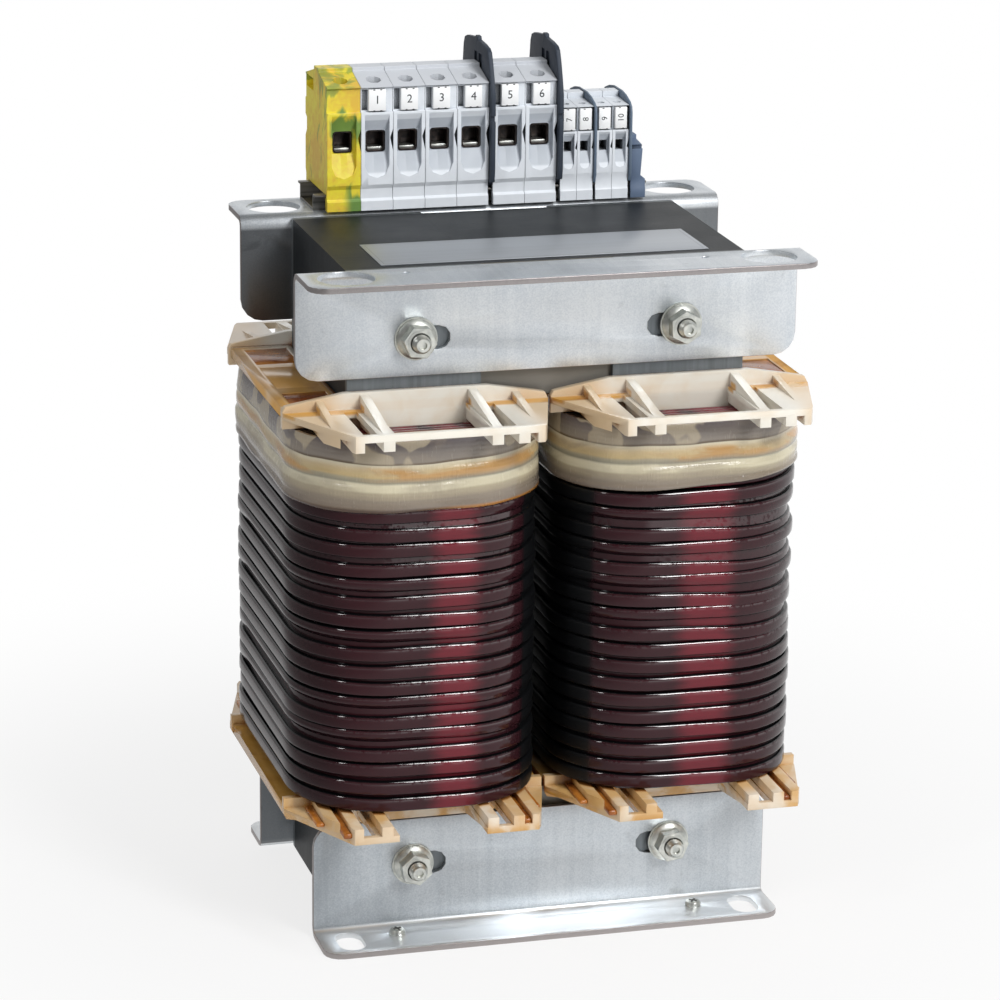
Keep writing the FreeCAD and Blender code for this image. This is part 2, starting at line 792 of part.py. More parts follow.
def partition():
    # A tall plate with a rounded front corner, a nub on its top edge and a small notch in its front edge.
    front_y = rail_y - partition_front_reach
    rear_y = rail_y + partition_rear_reach
    top = rail_top + partition_rise
    nub = rail_top + partition_nub_rise
    foot = rail_top + large_neck_rise - 1.5
    notch = rail_top + 31.8
    return [
        (front_y + 8.0, rail_top + rail_slack),
        (front_y + 4.0, foot),
        (front_y + 0.8, foot + 0.6),
        (front_y, foot + 5.5),
        (front_y, notch),
        (front_y + 1.6, notch + 0.3),
        (front_y + 1.6, notch + 2.3),
        (front_y, notch + 2.6),
        (front_y, top - 22.0),
        (front_y + 1.0, top - 15.0),
        (front_y + 3.8, top - 8.5),
        (front_y + 7.4, top - 4.0),
        (front_y + 12.0, top - 1.4),
        (front_y + 20.0, top),
        (front_y + 25.0, top),
        (front_y + 26.0, nub),
        (front_y + 36.0, nub - 0.4),
        (front_y + 37.0, top - 0.8),
        (rear_y - 5.0, top - 3.6),
        (rear_y - 1.8, top - 6.0),
        (rear_y - 0.6, top - 9.5),
        (rear_y, foot + 5.5),
        (rear_y - 5.5, foot + 0.6),
        (rear_y - 11.5, rail_top + rail_slack),
    ]


slack = 0.05
cages = []
screws = []
tags = []
cursor = row_start
partition_outline = partition()
for index in range(7):
    width = earth_width if index == 0 else large_width
    x0 = cursor + slack
    x1 = cursor + width - slack
    node = "earth_terminal" if index == 0 else "feed_terminal_" + str(index)
    save(terminal_body(x0, x1, large_section, large_faces, large_entry, large_pocket, large_shaft, 1.4), node)
    x = (x0 + x1) / 2
    made = large_metal(x)
    cages += made[0]
    screws += made[1]
    if index > 0:
        tags.append(tag(x, 8.0, large_faces[0], rail_top + large_face_rise, rail_top + large_seat_rise))
    cursor += width
    if index in (4, 6):
        name = "partition_plate_1" if index == 4 else "partition_plate_2"
        save(plate_yz(partition_outline, cursor + slack, cursor + partition_sheet - slack), name)
        cursor += partition_sheet


# Thin end plates of the small terminals: a plain curved outline a little larger than theirs.
def thin_plate(x0, x1):
    front_y = small_faces[0] - 1.6
    rear_y = small_faces[1] + 1.6
    low = rail_top + rail_slack
    top = rail_top + small_crown_rise
    outline = [
        (front_y + 6.0, low),
        (front_y + 1.4, low + 0.6),
        (front_y, low + 4.5),
        (front_y, top - 7.0),
        (front_y + 0.8, top - 4.2),
        (front_y + 3.2, top - 2.4),
        (front_y + 9.5, top - 0.4),
        (front_y + 16.0, top + 0.6),
        (rear_y - 16.0, top + 0.6),
        (rear_y - 9.5, top - 0.4),
        (rear_y - 3.2, top - 2.4),
        (rear_y - 0.8, top - 4.2),
        (rear_y, top - 7.0),
        (rear_y, low + 4.5),
        (rear_y - 1.4, low + 0.6),
        (rear_y - 6.0, low),
    ]
    return plate_yz(outline, x0, x1)


for index in range(4):
    x0 = cursor + slack
    x1 = cursor + small_width - slack
    node = "small_terminal_" + str(index + 1)
    save(terminal_body(x0, x1, small_section, small_faces, small_entry, small_pocket, small_shaft, 0.9), node)
    x = (x0 + x1) / 2
    tags.append(tag(x, 5.6, small_faces[0], rail_top + small_face_rise, rail_top + small_seat_rise - 0.1))
    cursor += small_width
    if index in (1, 3):
        name = "thin_plate_1" if index == 1 else "thin_plate_2"
        save(thin_plate(cursor + slack, cursor + thin_plate_sheet - slack), name)
        cursor += thin_plate_sheet
save(Part.makeCompound(cages), "terminal_cages")
save(Part.makeCompound(screws), "terminal_screws")
save(Part.makeCompound(tags), "marker_tags")


# End stop: a clamp at the right end of the row, with a foot, a waisted body and its screw on top.
stop_sizes = [15.6, 16.6, 17.6, 18.6, 20.6]
stop_section = body_section(rail_y - 19.5, rail_y + 20.3, 3.6, stop_sizes, 11.0, 0.5)
stop_x0 = cursor + slack
stop_x1 = stop_x0 + 7.1
stop_x = (stop_x0 + stop_x1) / 2
stop_y = rail_y + 0.4
stop = plate_yz(stop_section, stop_x0, stop_x1)
waist_low = rail_top + 1.2
waist_top = rail_top + 17.0
shoulder_top = rail_top + 21.6
waist = [
    (stop_x1 + 1, waist_low),
    (stop_x1, waist_low),
    (stop_x1 - 2.4, waist_low + 2.0),
    (stop_x1 - 1.5, waist_top),
    (stop_x1 - 2.0, waist_top + 0.4),
    (stop_x1 - 2.0, shoulder_top),
    (stop_x1 + 1, shoulder_top),
]
stop = stop.cut(plate_xz(waist, rail_y - 30, rail_y + 30))
screw_radius = 1.9
save(stop.cut(upright_bar(stop_x - 0.9, stop_y, waist_low, shoulder_top, screw_radius + 0.15, 8)), "end_stop")
stop_screw = upright_bar(stop_x - 0.9, stop_y, waist_low + 1, rail_top + 25.4, screw_radius, 8)
save(stop_screw, "end_stop_screw")
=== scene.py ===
import bpy
import bmesh
import math
import random
from mathutils import Matrix, Vector, noise


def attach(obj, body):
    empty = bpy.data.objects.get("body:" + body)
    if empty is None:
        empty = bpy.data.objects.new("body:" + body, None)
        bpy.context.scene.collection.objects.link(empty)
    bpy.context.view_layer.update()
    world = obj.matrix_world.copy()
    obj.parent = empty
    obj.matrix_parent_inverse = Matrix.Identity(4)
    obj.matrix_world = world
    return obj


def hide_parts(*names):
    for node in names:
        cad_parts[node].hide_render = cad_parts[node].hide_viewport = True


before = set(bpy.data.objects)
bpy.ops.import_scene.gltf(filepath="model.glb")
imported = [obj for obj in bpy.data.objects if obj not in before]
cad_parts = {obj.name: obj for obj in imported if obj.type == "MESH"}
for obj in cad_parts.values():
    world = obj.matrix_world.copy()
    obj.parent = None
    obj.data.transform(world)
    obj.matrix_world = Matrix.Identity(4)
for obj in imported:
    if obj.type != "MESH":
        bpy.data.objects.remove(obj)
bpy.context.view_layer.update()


# Viewpoint
# The view is from a little left of the transformer, about 1.8 m away, and looks down on it.
# The lens is long, so the upright edges stay nearly parallel.
def from_degrees(azimuth, elevation, roll):
    """Axes of a camera that looks along an azimuth, down by an elevation, and rolled."""
    azimuth, elevation, roll = (math.radians(angle) for angle in (azimuth, elevation, roll))
    level = math.cos(elevation)
    ahead = Vector((-math.sin(azimuth) * level, math.cos(azimuth) * level, -math.sin(elevation)))
    right = ahead.cross(Vector((0, 0, 1))).normalized()
    up = right.cross(ahead)
    rolled_right = right * math.cos(roll) + up * math.sin(roll)
    rolled_up = up * math.cos(roll) - right * math.sin(roll)
    return Matrix((rolled_right, rolled_up, -ahead)).transposed()


lens = bpy.data.cameras.new("viewpoint")
lens.sensor_width = 36.0
lens.lens = 145.39
lens.clip_end = 100.0
camera = bpy.data.objects.new("viewpoint", lens)
camera.matrix_world = Matrix.Translation(
    (-0.48087, -1.69204, 0.70571)
) @ from_degrees(-15.69, 16.62, 0.71).to_4x4()
bpy.context.scene.collection.objects.link(camera)
bpy.context.scene.camera = camera


# Core
# Thin strips of electrical steel, stacked front to back and interleaved at the corners.
# The cut edges of the strips show as fine lines on the top and the ends, under a dark varnish.
class Field:
    """A socket in a material. Arithmetic on fields adds Math nodes. node() adds any other node."""

    def __init__(self, tree, socket):
        self.tree = tree
        self.socket = socket

    def node(self, kind, settings=None, output=0, **values):
        """A new node of a kind. Its settings come first, then its sockets, by name or as i0, i1,
        each with a value, a colour code or a field."""
        made = self.tree.nodes.new("ShaderNode" + kind)
        for name, value in (settings or {}).items():
            if name == "stops":
                stops = made.color_ramp.elements
                stops[0].position, stops[0].color = value[0][0], paint(value[0][1])
                stops[1].position, stops[1].color = value[-1][0], paint(value[-1][1])
                for position, code in value[1:-1]:
                    stops.new(position).color = paint(code)
            else:
                setattr(made, name, value)
        for name, value in values.items():
            socket = made.inputs[int(name[1:]) if name[1:].isdigit() else name.replace("_", " ")]
            if isinstance(value, Field):
                self.tree.links.new(value.socket, socket)
            else:
                socket.default_value = paint(value) if isinstance(value, str) else value
        return Field(self.tree, made.outputs[output]) if made.outputs else None

    def output(self, name):
        """Another output of the node that this field comes from."""
        return Field(self.tree, self.socket.node.outputs[name])

    def math(self, operation, *others):
        return self.node(
            "Math", {"operation": operation}, i0=self,
            **{"i%d" % (k + 1): o for k, o in enumerate(others)},
        )

    def __add__(self, other):
        return self.math("ADD", other)

    __radd__ = __add__

    def __mul__(self, other):
        return self.math("MULTIPLY", other)

    __rmul__ = __mul__

    def __sub__(self, other):
        return self.math("SUBTRACT", other)

    def __rsub__(self, other):
        return self.math("MULTIPLY", -1.0) + other

    def __truediv__(self, other):
        return self.math("DIVIDE", other)

    def __abs__(self):
        return self.math("ABSOLUTE")

    def at_least(self, other):
        """The larger of this field and another, or a number. It joins two masks."""
        return self.math("MAXIMUM", other)

    def axis(self, letter):
        """One coordinate of a place, in metres."""
        return self.node("SeparateXYZ", output="XYZ".index(letter), Vector=self)

    def rise(self, low, high):
        """0 below low, 1 above high and smooth between, or reversed where low is the larger."""
        start, end = (0.0, 1.0) if low < high else (1.0, 0.0)
        kind = {"interpolation_type": "SMOOTHSTEP", "clamp": True}
        return self.node(
            "MapRange", kind, Value=self, From_Min=min(low, high), From_Max=max(low, high),
            To_Min=start, To_Max=end,
        )

    def between(self, low, high, soft):
        """1 between two values and 0 outside, with soft edges."""
        return self.rise(low - soft, low + soft) * self.rise(high + soft, high - soft)

    def stretched(self, x, y, z):
        return self.node("VectorMath", {"operation": "MULTIPLY"}, i0=self, i1=(x, y, z))

    def noise(self, scale, detail=3.0, distortion=0.0):
        return self.node("TexNoise", Vector=self, Scale=scale, Detail=detail, Distortion=distortion)

    def mixed(self, first, second):
        """The first colour where this field is 0, and the second where it is 1."""
        return self.node("Mix", {"data_type": "RGBA"}, output=2, i0=self, i6=first, i7=second)


def paint(code):
    """A colour for a shader, from the six hexadecimal digits that it has on a screen."""
    parts = [int(code[k : k + 2], 16) / 255 for k in (0, 2, 4)]
    return tuple(
        p / 12.92 if p <= 0.04045 else ((p + 0.055) / 1.055) ** 2.4 for p in parts
    ) + (1.0,)


def new_finish(name):
    """Starts a material, and gives the place on the object as a field."""
    material = bpy.data.materials.new(name)
    material.use_nodes = True
    tree = material.node_tree
    tree.nodes.clear()
    return Field(tree, None).node("TexCoord", output="Object")


def end_with(place, shader):
    """Ends a material with a shader, and gives the material."""
    place.node("OutputMaterial", Surface=shader)
    return next(material for material in bpy.data.materials if material.node_tree == place.tree)


def close_finish(place, height=None, depth=0.0, **values):
    """Ends a material with a Principled shader. A height field gives bumps of a depth in metres."""
    if height is not None:
        values["Normal"] = place.node("Bump", Strength=1.0, Distance=depth, Height=height)
    return end_with(place, place.node("BsdfPrincipled", **values))


def dress(material, *nodes):
    """Gives a CAD node its finish."""
    for node in nodes:
        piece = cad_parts[node]
        piece.data.materials.clear()
        piece.data.materials.append(material)


place = new_finish("varnished_core_strips")
strips = place.stretched(30.0, 2200.0, 30.0).noise(1.0, 2.0)
stains = place.noise(45.0, 4.0)
sheet = abs(place.axis("Y")).rise(0.0506, 0.0508)
shade = (strips * 0.6 + stains * 0.5).rise(0.3, 0.8)
edges = shade.mixed("14171A", "2A2E31")
grit = place.noise(1400.0, 1.0).rise(0.76, 0.8) * 0.5
joint = abs(
    abs(place.axis("X")) - 0.0306
).rise(0.0003, 0.0001) * place.axis("Z").rise(0.304, 0.3042)
edges = joint.mixed(edges, "050607")
core_steel = close_finish(
    place,
    height=strips * (1 - sheet) + stains * 0.3,
    depth=0.00012,
    Base_Color=sheet.mixed(grit.mixed(edges, "8E8C84"), stains.mixed("77756F", "96928A")),
    Roughness=stains * 0.25 + 0.34,
    Metallic=sheet * 0.5,
    Specular_IOR_Level=0.28,
)
dress(core_steel, "core_left_leg", "core_right_leg", "core_top_yoke", "core_bottom_yoke")


# Leg plates
# Flat grey strips of sheet steel over both faces of each leg, under the brackets.
# They are rolled, so faint streaks run up them.
place = new_finish("rolled_plate")
streaks = place.stretched(500.0, 500.0, 14.0).noise(1.0, 3.0)
clouds = place.noise(38.0, 3.0)
leg_plate_grey = close_finish(
    place,
    height=streaks,
    depth=0.00005,
    Base_Color=(streaks * 0.5 + clouds * 0.5).rise(0.25, 0.75).mixed("6C7276", "8A9094"),
    Roughness=clouds * 0.25 + 0.33,
    Metallic=0.7,
)
for face in ("front", "rear"):
    for leg in ("left", "right"):
        dress(leg_plate_grey, "leg_plate_" + face + "_" + leg)


# Coil formers
# Each leg carries a former of four moulded panels in a glass-filled cream plastic: a ribbed wing
# panel at the front and the rear, and a pocketed panel on each side. Their edges are soft.
def sharp_edges(form, degrees):
    limit = math.radians(degrees)
    return [edge for edge in form.edges if edge.is_manifold and edge.calc_face_angle(0.0) > limit]


def round_edges(form, edges, radius, segments=2, clamped=True):
    bmesh.ops.bevel(
        form, geom=edges, offset=radius, affect="EDGES", segments=segments, profile=0.5,
        material=-1, clamp_overlap=clamped,
    )


def eased(node, radius, segments=2, degrees=38.0, centre=0.0, spared=0.0):
    """A copy of a CAD node, in mm, with its edges rounded apart from those near a centre."""
    form = bmesh.new()
    form.from_mesh(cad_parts[node].data)
    bmesh.ops.scale(form, vec=(1000.0, 1000.0, 1000.0), verts=form.verts)
    bmesh.ops.remove_doubles(form, verts=form.verts, dist=0.002)
    bmesh.ops.dissolve_limit(
        form, angle_limit=math.radians(1.0), verts=form.verts, edges=form.edges
    )
    sharp = [
        edge
        for edge in sharp_edges(form, degrees)
        if any(abs(vert.co.x - centre) >= spared for vert in edge.verts)
    ]
    round_edges(form, sharp, radius, segments)
    return form


def place_piece(name, form, material, slot, *nodes, angle=38.0):
    """Makes a piece of a form in mm. It rides on the body and stands for the named CAD nodes."""
    bmesh.ops.scale(form, vec=(0.001, 0.001, 0.001), verts=form.verts)
    mesh = bpy.data.meshes.new(name)
    form.to_mesh(mesh)
    form.free()
    mesh.materials.append(material)
    mesh.shade_smooth()
    mesh.set_sharp_from_angle(angle=math.radians(angle))
    piece = bpy.data.objects.new(name, mesh)
    bpy.context.scene.collection.objects.link(piece)
    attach(piece, "root")
    if nodes:
        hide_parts(*nodes)
    return piece


place = new_finish("moulded_cream_plastic")
crevice = place.node("AmbientOcclusion", {"samples": 8}, output=1, Distance=0.006).rise(0.75, 0.15)
blotches = place.noise(55.0, 4.0, 0.6)
streaks = place.stretched(1.0, 1.0, 5.0).noise(110.0, 3.0)
low_down = place.axis("Z").rise(0.1, 0.07)
broad = place.noise(17.0, 2.0)
along = place.axis("X")
from_leg = along - along.math("SIGN") * 0.06
wing_ends = (
    from_leg.rise(-0.028, -0.044) * 0.9
).at_least(from_leg.rise(0.036, 0.05) * 0.8) * broad.rise(0.26, 0.5)
tanned = (blotches * 0.4 + streaks * 0.05 + broad * 0.55 + low_down * 0.05).rise(0.44, 0.7) * 0.55
cream = tanned.at_least(wing_ends * 0.75).mixed("EBE6DA", "CFA667")
cream = (low_down * (blotches.rise(0.36, 0.6) * 0.5 + 0.25)).mixed(cream, "CE9C50")
soaked = (crevice * (blotches + 0.5 + low_down * 0.6)).rise(0.25, 0.85)
wall_foot = abs(place.axis("Y")).between(0.0585, 0.0655, 0.0016)
level = abs(place.axis("Z") - 0.1525).between(0.0905, 0.0945, 0.0008)
run_down = wall_foot * level * place.noise(60.0, 2.0).rise(0.3, 0.44)
underside = place.axis("Z").rise(0.064, 0.061) * blotches.rise(0.42, 0.62) * 0.6
side_top = abs(from_leg).rise(0.031, 0.033) * abs(
    place.axis("Y")
).rise(0.053, 0.05) * broad.rise(0.2, 0.5) * 0.8
amber_share = (soaked * 0.9).at_least(run_down * 0.95).at_least(underside).at_least(side_top)
cream_plastic = close_finish(
    place,
    height=blotches * 0.7 + streaks * 0.3,
    depth=0.00012,
    Base_Color=amber_share.mixed(
        cream, (blotches + crevice * 0.5).rise(0.5, 0.9).mixed("D49C42", "9A5A22")
    ),
    Roughness=amber_share * -0.14 + 0.3,
    Coat_Weight=0.35,
    Coat_Roughness=0.08,
)
for panel in ("front", "rear", "outer_side", "inner_side"):
    for leg in ("left", "right"):
        node = "former_" + panel + "_" + leg
        place_piece(
            "moulded_" + panel + "_panel_" + leg, eased(node, 0.45), cream_plastic,
            "former_cream", node,
        )


# Resin
# Varnish resin has run together and set in the pockets of the side panels and between the fingers
# of the lower wings. It is clear amber, brown where it is deep.
def add_part(form, part, matrix=Matrix.Identity(4)):
    """Sets a part at its place in a form."""
    bmesh.ops.transform(part, matrix=matrix, verts=part.verts)
    bmesh.ops.recalc_face_normals(part, faces=part.faces)
    mesh = bpy.data.meshes.new("part")
    part.to_mesh(mesh)
    part.free()
    form.from_mesh(mesh)
    bpy.data.meshes.remove(mesh)


def slab(form, low, high, radius, segments=2, matrix=Matrix.Identity(4)):
    """A block with rounded edges between two corners."""
    part = bmesh.new()
    bmesh.ops.create_cube(part, size=1.0)
    size = Vector(high) - Vector(low)
    bmesh.ops.scale(part, vec=size, verts=part.verts)
    bmesh.ops.translate(part, vec=(Vector(high) + Vector(low)) / 2, verts=part.verts)
    round_edges(part, part.edges[:], radius, segments)
    add_part(form, part, matrix)


place = new_finish("amber_resin")
depths = place.noise(70.0, 3.0)
skin = place.noise(300.0, 2.0)
amber = close_finish(
    place,
    height=skin,
    depth=0.0002,
    Base_Color=depths.rise(0.35, 0.65).mixed("C07A30", "8A4719"),
    Roughness=skin * 0.1 + 0.2,
    Coat_Weight=0.15,
    Coat_Roughness=0.06,
)
pools = bmesh.new()
infills = bmesh.new()
half_turn = Matrix.Rotation(math.pi, 4, "Z")
for turned in (Matrix.Identity(4), half_turn):
    for rear, front in ((20.0, 48.0), (-50.9, -30.0)):
        slab(pools, (-113.7, rear, 242.5), (-94.0, front, 245.4), 0.3, 2, turned)
    slab(infills, (-113.8, -22.1, 242.6), (-93.9, 14.1, 245.65), 0.2, 2, turned)
    for rear, front in ((20.0, 48.0), (-22.0, 14.0), (-50.9, -30.0)):
        slab(pools, (-113.7, rear, 60.4), (-94.0, front, 62.5), 0.4, 2, turned)
    for centre in (-60.0, 60.0):
        for left, right, top in (
            (-42.1, -38.4, 65.6), (38.9, 42.6, 65.4), (-50.5, -46.9, 65.0), (47.4, 51.0, 65.0)
        ):
            reach = -100.5 if abs(left) < 47 else -84.0
            slab(pools, (centre + left, reach, 63.2), (centre + right, -60.0, top), 0.7, 3, turned)
place_piece("resin_pools", pools, amber, "former_cream")
place_piece("pocket_infills", infills, cream_plastic, "former_cream")


# Inner windings
# A coil of thick enamelled wire, wound layer on layer on the former. Only the ends of it show,
# through the windows of the wings.
coils = {"left": -60.0, "right": 60.0}
middle_height = 152.5
coil_low = 68.05
coil_high = 236.95


def corner_path(half_width, half_depth, corner, height=0.0, step=6.0):
    """Points round a rectangle with round corners, each with the direction that faces outwards."""
    points = []
    for quarter in range(4):
        turn = math.pi / 2 * quarter
        centre = Vector(
            (
                half_width - corner if quarter in (0, 3) else corner - half_width,
                half_depth - corner if quarter < 2 else corner - half_depth, height,
            )
        )
        bends = max(3, round(corner * math.pi / 2 / step))
        for bend in range(bends + 1):
            angle = turn + math.pi / 2 * bend / bends
            outward = Vector((math.cos(angle), math.sin(angle), 0))
            points.append((centre + outward * corner, outward))
        run = 2 * (half_width - corner if quarter in (0, 2) else half_depth - corner)
        along = Vector((-math.sin(turn + math.pi / 2), math.cos(turn + math.pi / 2), 0))
        last, outward = points[-1]
        parts = max(1, round(run / step))
        for part in range(1, parts):
            points.append((last + along * run * part / parts, outward))
    return points


def rounded_section(width, height, radius, steps=3):
    """A closed section of a flat wire, with its outer face at 0 and its middle at 0."""
    points = []
    for quarter in range(4):
        centre_x = -radius if quarter in (0, 3) else radius - width
        centre_y = height / 2 - radius if quarter < 2 else radius - height / 2
        for bend in range(steps + 1):
            turn = math.pi / 2 * (quarter + bend / steps)
            points.append((centre_x + radius * math.cos(turn), centre_y + radius * math.sin(turn)))
    return points


def poly_spline(curve, points):
    spline = curve.splines.new("POLY")
    spline.points.add(len(points) - 1)
    for point, place in zip(spline.points, points):
        point.co = (*place, 1.0)
    spline.use_cyclic_u = True


def formed(curve):
    """A form of the mesh that a curve or a text makes."""
    holder = bpy.data.objects.new(curve.name, curve)
    bpy.context.scene.collection.objects.link(holder)
    bpy.context.view_layer.update()
    graph = bpy.context.evaluated_depsgraph_get()
    mesh = bpy.data.meshes.new_from_object(holder.evaluated_get(graph))
    form = bmesh.new()
    form.from_mesh(mesh)
    bpy.data.objects.remove(holder)
    bpy.data.meshes.remove(mesh)
    return form


def sweep(form, loops, section):
    """Sweeps a closed section round closed loops of points, and adds the result to a form."""
    outline = bpy.data.curves.new("section", "CURVE")
    outline.dimensions = "2D"
    poly_spline(outline, [(x, y, 0.0) for x, y in section])
    shape = bpy.data.objects.new("section", outline)
    route = bpy.data.curves.new("loops", "CURVE")
    route.dimensions = "3D"
    route.twist_mode = "Z_UP"
    route.bevel_mode = "OBJECT"
    route.bevel_object = shape
    for loop in loops:
        poly_spline(route, loop)
    add_part(form, formed(route))
    bpy.data.objects.remove(shape)


def loop_round(centre, half_width, half_depth, corner, height):
    return [
        point + Vector((centre, 0, 0))
        for point, outward in corner_path(half_width, half_depth, corner, height)
    ]


place = new_finish("dark_enamel_wire")
patches = place.noise(90.0, 2.0)
wire_enamel = close_finish(
    place,
    height=place.noise(900.0, 2.0),
    depth=0.00002,
    Base_Color=patches.rise(0.35, 0.65).mixed("2A1216", "6E2A30"),
    Roughness=patches * 0.1 + 0.14,
    IOR=1.5,
)
wire_width = 3.3
for leg, centre in coils.items():
    form = bmesh.new()
    rows = [coil_high - 1.7, coil_high - 5.1, coil_low + 5.1, coil_low + 1.7]
    for layer in range(3):
        inset = 0.1 + layer * (wire_width + 0.25)
        size = (43.4 - inset, 71.9 - inset, max(19.0 - inset, 2.0))
        sweep(
            form, [loop_round(centre, *size, row) for row in rows],
            rounded_section(wire_width, 3.2, 1.2),
        )
    body = [loop_round(centre, 43.2, 71.7, 19.0, middle_height)]
    sweep(form, body, rounded_section(9.6, coil_high - coil_low - 14.0, 1.0))
    place_piece("inner_wire_" + leg, form, wire_enamel, "inner_copper", "inner_winding_" + leg)


# Insulation
# A sleeve of pressed paper between the inner and the outer winding. The varnish has soaked into
# its rims and left them brown.
place = new_finish("varnished_paper")
fibres = place.stretched(60.0, 60.0, 900.0).noise(1.0, 4.0)
rim = abs(place.axis("Z") - middle_height / 1000).rise(0.078, 0.0845)
paper = close_finish(
    place,
    height=fibres,
    depth=0.00008,
    Base_Color=(rim * 0.7 + fibres * 0.3).mixed("C9B78E", "8A5F33"),
    Roughness=fibres * 0.2 + 0.4,
)
dress(paper, "insulation_left", "insulation_right")


# Outer windings
# Flat copper wire with a dark red enamel, wound in eighteen turns and dipped in varnish. Here and
# there a turn lies tight under the one above, and its lower half falls back and leaves a dark gap.
turn_height = 6.3
turn_width = 10.3
winding_high = 206.5
turn_pitch = (winding_high - coil_low) / 18
irregular = random.Random(5)
leaning = {
    "left": {4: (1.0, 0.5), 6: (1.0, 0.5), 10: (1.0, 0.5), 13: (0.8, 0.4), 17: (0.1, 0.6)},
    "right": {10: (0.7, 0.1), 12: (1.0, 0.1), 14: (1.0, 0.1), 16: (1.0, 0.2)},
}


def smooth_step(value, low, high):
    share = min(max((value - low) / (high - low), 0.0), 1.0)
    return share * share * (3 - 2 * share)


def wound_turn(centre, turn, tilts):
    """One turn of flat wire. It sways a little, and its lower half falls back by its tilts."""
    height = coil_low + (turn + 0.5) * turn_pitch
    push = irregular.uniform(-0.45, 0.3)
    phase = irregular.uniform(0.0, 6.3)
    shift = irregular.uniform(-0.2, 0.2) + (
        0.5 if turn in tilts else -0.35 if turn - 1 in tilts else 0.0
    )
    left_tilt, right_tilt = tilts.get(turn, (0.0, 0.0))
    part = bmesh.new()
    section = rounded_section(turn_width, turn_height, 1.1, 4) + [
        (0.08, -0.9), (0.1, 0.3), (0.08, 1.4)
    ]
    sweep(part, [loop_round(centre, 56.2, 87.7, 41.7, height)], section)
    for vert in part.verts:
        across = vert.co.x - centre
        middle = Vector((max(-14.5, min(14.5, across)), max(-46.0, min(46.0, vert.co.y)), 0.0))
        spoke = Vector((across, vert.co.y, 0.0)) - middle
        outward = spoke.normalized()
        near_face = min(max((spoke.length - 34.0) / 6.0, 0.0), 1.0)
        share = smooth_step(across, -36.0, 40.0)
        tilt = (
            left_tilt * (1 - share) + right_tilt * share
        ) * (1 - smooth_step(vert.co.y, 10.0, 60.0))
        fall = tilt * max(0.0, 0.3 - (vert.co.z - height)) * 0.72
        sway = 0.3 * math.sin(across / 26 + phase) + 0.25 * math.sin(vert.co.y / 31 + phase * 2)
        vert.co += outward * (push - fall) * near_face
        vert.co.z += shift + sway - 0.009 * across * (1 - smooth_step(vert.co.y, -60.0, 40.0))
        at_front = 1 - smooth_step(vert.co.y, -30.0, 30.0)
        if centre > 0 and turn == 17:
            vert.co.z += 0.035 * max(across + 25.0, 0.0) * at_front
        if centre > 0 and turn in (9, 11, 13, 15):
            slip = smooth_step(across, -25.0, 45.0) * at_front
            vert.co.z -= 2.7 * slip
            vert.co -= outward * 0.9 * slip * near_face
    return part


def red_enamel(name, centre, sheen_low, sheen_high):
    """Enamel that is nearly black, with a painted red sheen up the middle of the coil's front and
    rear.
    The flanks, the sides of the two coils that face each other and the faces of the turns that look
    up or down are painted darker, as shade.
    """
    place = new_finish(name)
    across = place.axis("X") - centre / 1000
    depth = abs(place.axis("Y"))
    runs = place.stretched(60.0, 60.0, 700.0).noise(1.0, 3.0)
    wander = (place.stretched(0.0, 0.0, 260.0).noise(1.0, 1.0) - 0.5) * 0.01
    # Painted sheen: a red band up the middle of the front and rear faces, where the copper catches
    # the light.
    glow = (across + wander).between(
        sheen_low / 1000, sheen_high / 1000, 0.0055
    ) * depth.rise(0.06, 0.084)
    flank = abs(across).rise(0.03, 0.05)
    # Painted shade: the base turns darker round the corners and on the flanks.
    dark = (flank * 0.6).mixed("34181D", "1C1013")
    drips = place.noise(240.0, 2.0)
    tilt = place.node("Attribute", {"attribute_name": "tilt"}, output=2)
    lip = tilt.between(0.1, 0.75, 0.08)
    broken = place.noise(520.0, 2.0).rise(0.38, 0.5).at_least(
        place.noise(38.0, 1.0).rise(0.5, 0.42)
    )
    colour = (glow * (runs * 0.4 + 0.7)).mixed(dark, "6C222C")
    # Painted shade: faces of the turns that look up or down go near black, as the shade in the gaps
    # between turns.
    shaded = abs(tilt).rise(0.45, 0.8)
    # Painted shade: the sides of the two coils that face each other go near black, matt and without
    # bumps or coat, as the shade between the coils.
    inner = (across * (-1.0 if centre > 0 else 1.0)).rise(0.0425, 0.0455)
    return close_finish(
        place,
        height=(drips * 0.5 + runs * 0.35) * (1 - inner) * (1 - flank * 0.97),
        depth=0.00012,
        Base_Color=shaded.at_least(inner).mixed(colour, "0B0C0E"),
        Roughness=drips * 0.1 + 0.07 + inner * 0.35,
        Coat_Weight=lip * broken * (1 - inner) * (1 - flank * 0.85),
        Coat_Roughness=0.04,
        Coat_IOR=1.75,
        IOR=1.36,
    )


enamels = {
    "left": red_enamel("red_enamel_left", -60.0, 2.0, 20.0),
    "right": red_enamel("red_enamel_right", 60.0, -6.0, 16.0),
}
for leg, centre in coils.items():
    form = bmesh.new()
    for turn in range(18):
        add_part(form, wound_turn(centre, turn, leaning[leg]))
    backing = rounded_section(7.2, winding_high - coil_low - 0.6, 0.5)
    sweep(form, [loop_round(centre, 53.8, 85.3, 39.3, (winding_high + coil_low) / 2)], backing)
    collar = rounded_section(8.4, 23.0, 1.0)
    sweep(form, [loop_round(centre, 54.6, 86.1, 40.0, winding_high + 11.9)], collar)
    for layer in range(3):
        inset = layer * 3.1
        rows = [coil_high - 1.6, coil_high - 4.8]
        loops = [loop_round(centre, 54.4 - inset, 85.9 - inset, 40.0 - inset, row) for row in rows]
        sweep(form, loops, rounded_section(3.0, 3.1, 1.1))
    piece = place_piece(
        "flat_wire_turns_" + leg, form, enamels[leg], "outer_copper", "outer_winding_" + leg,
        angle=50.0,
    )
    tilts = piece.data.attributes.new("tilt", "FLOAT", "POINT")
    for vert, tilt in zip(piece.data.vertices, tilts.data):
        tilt.value = vert.normal.z


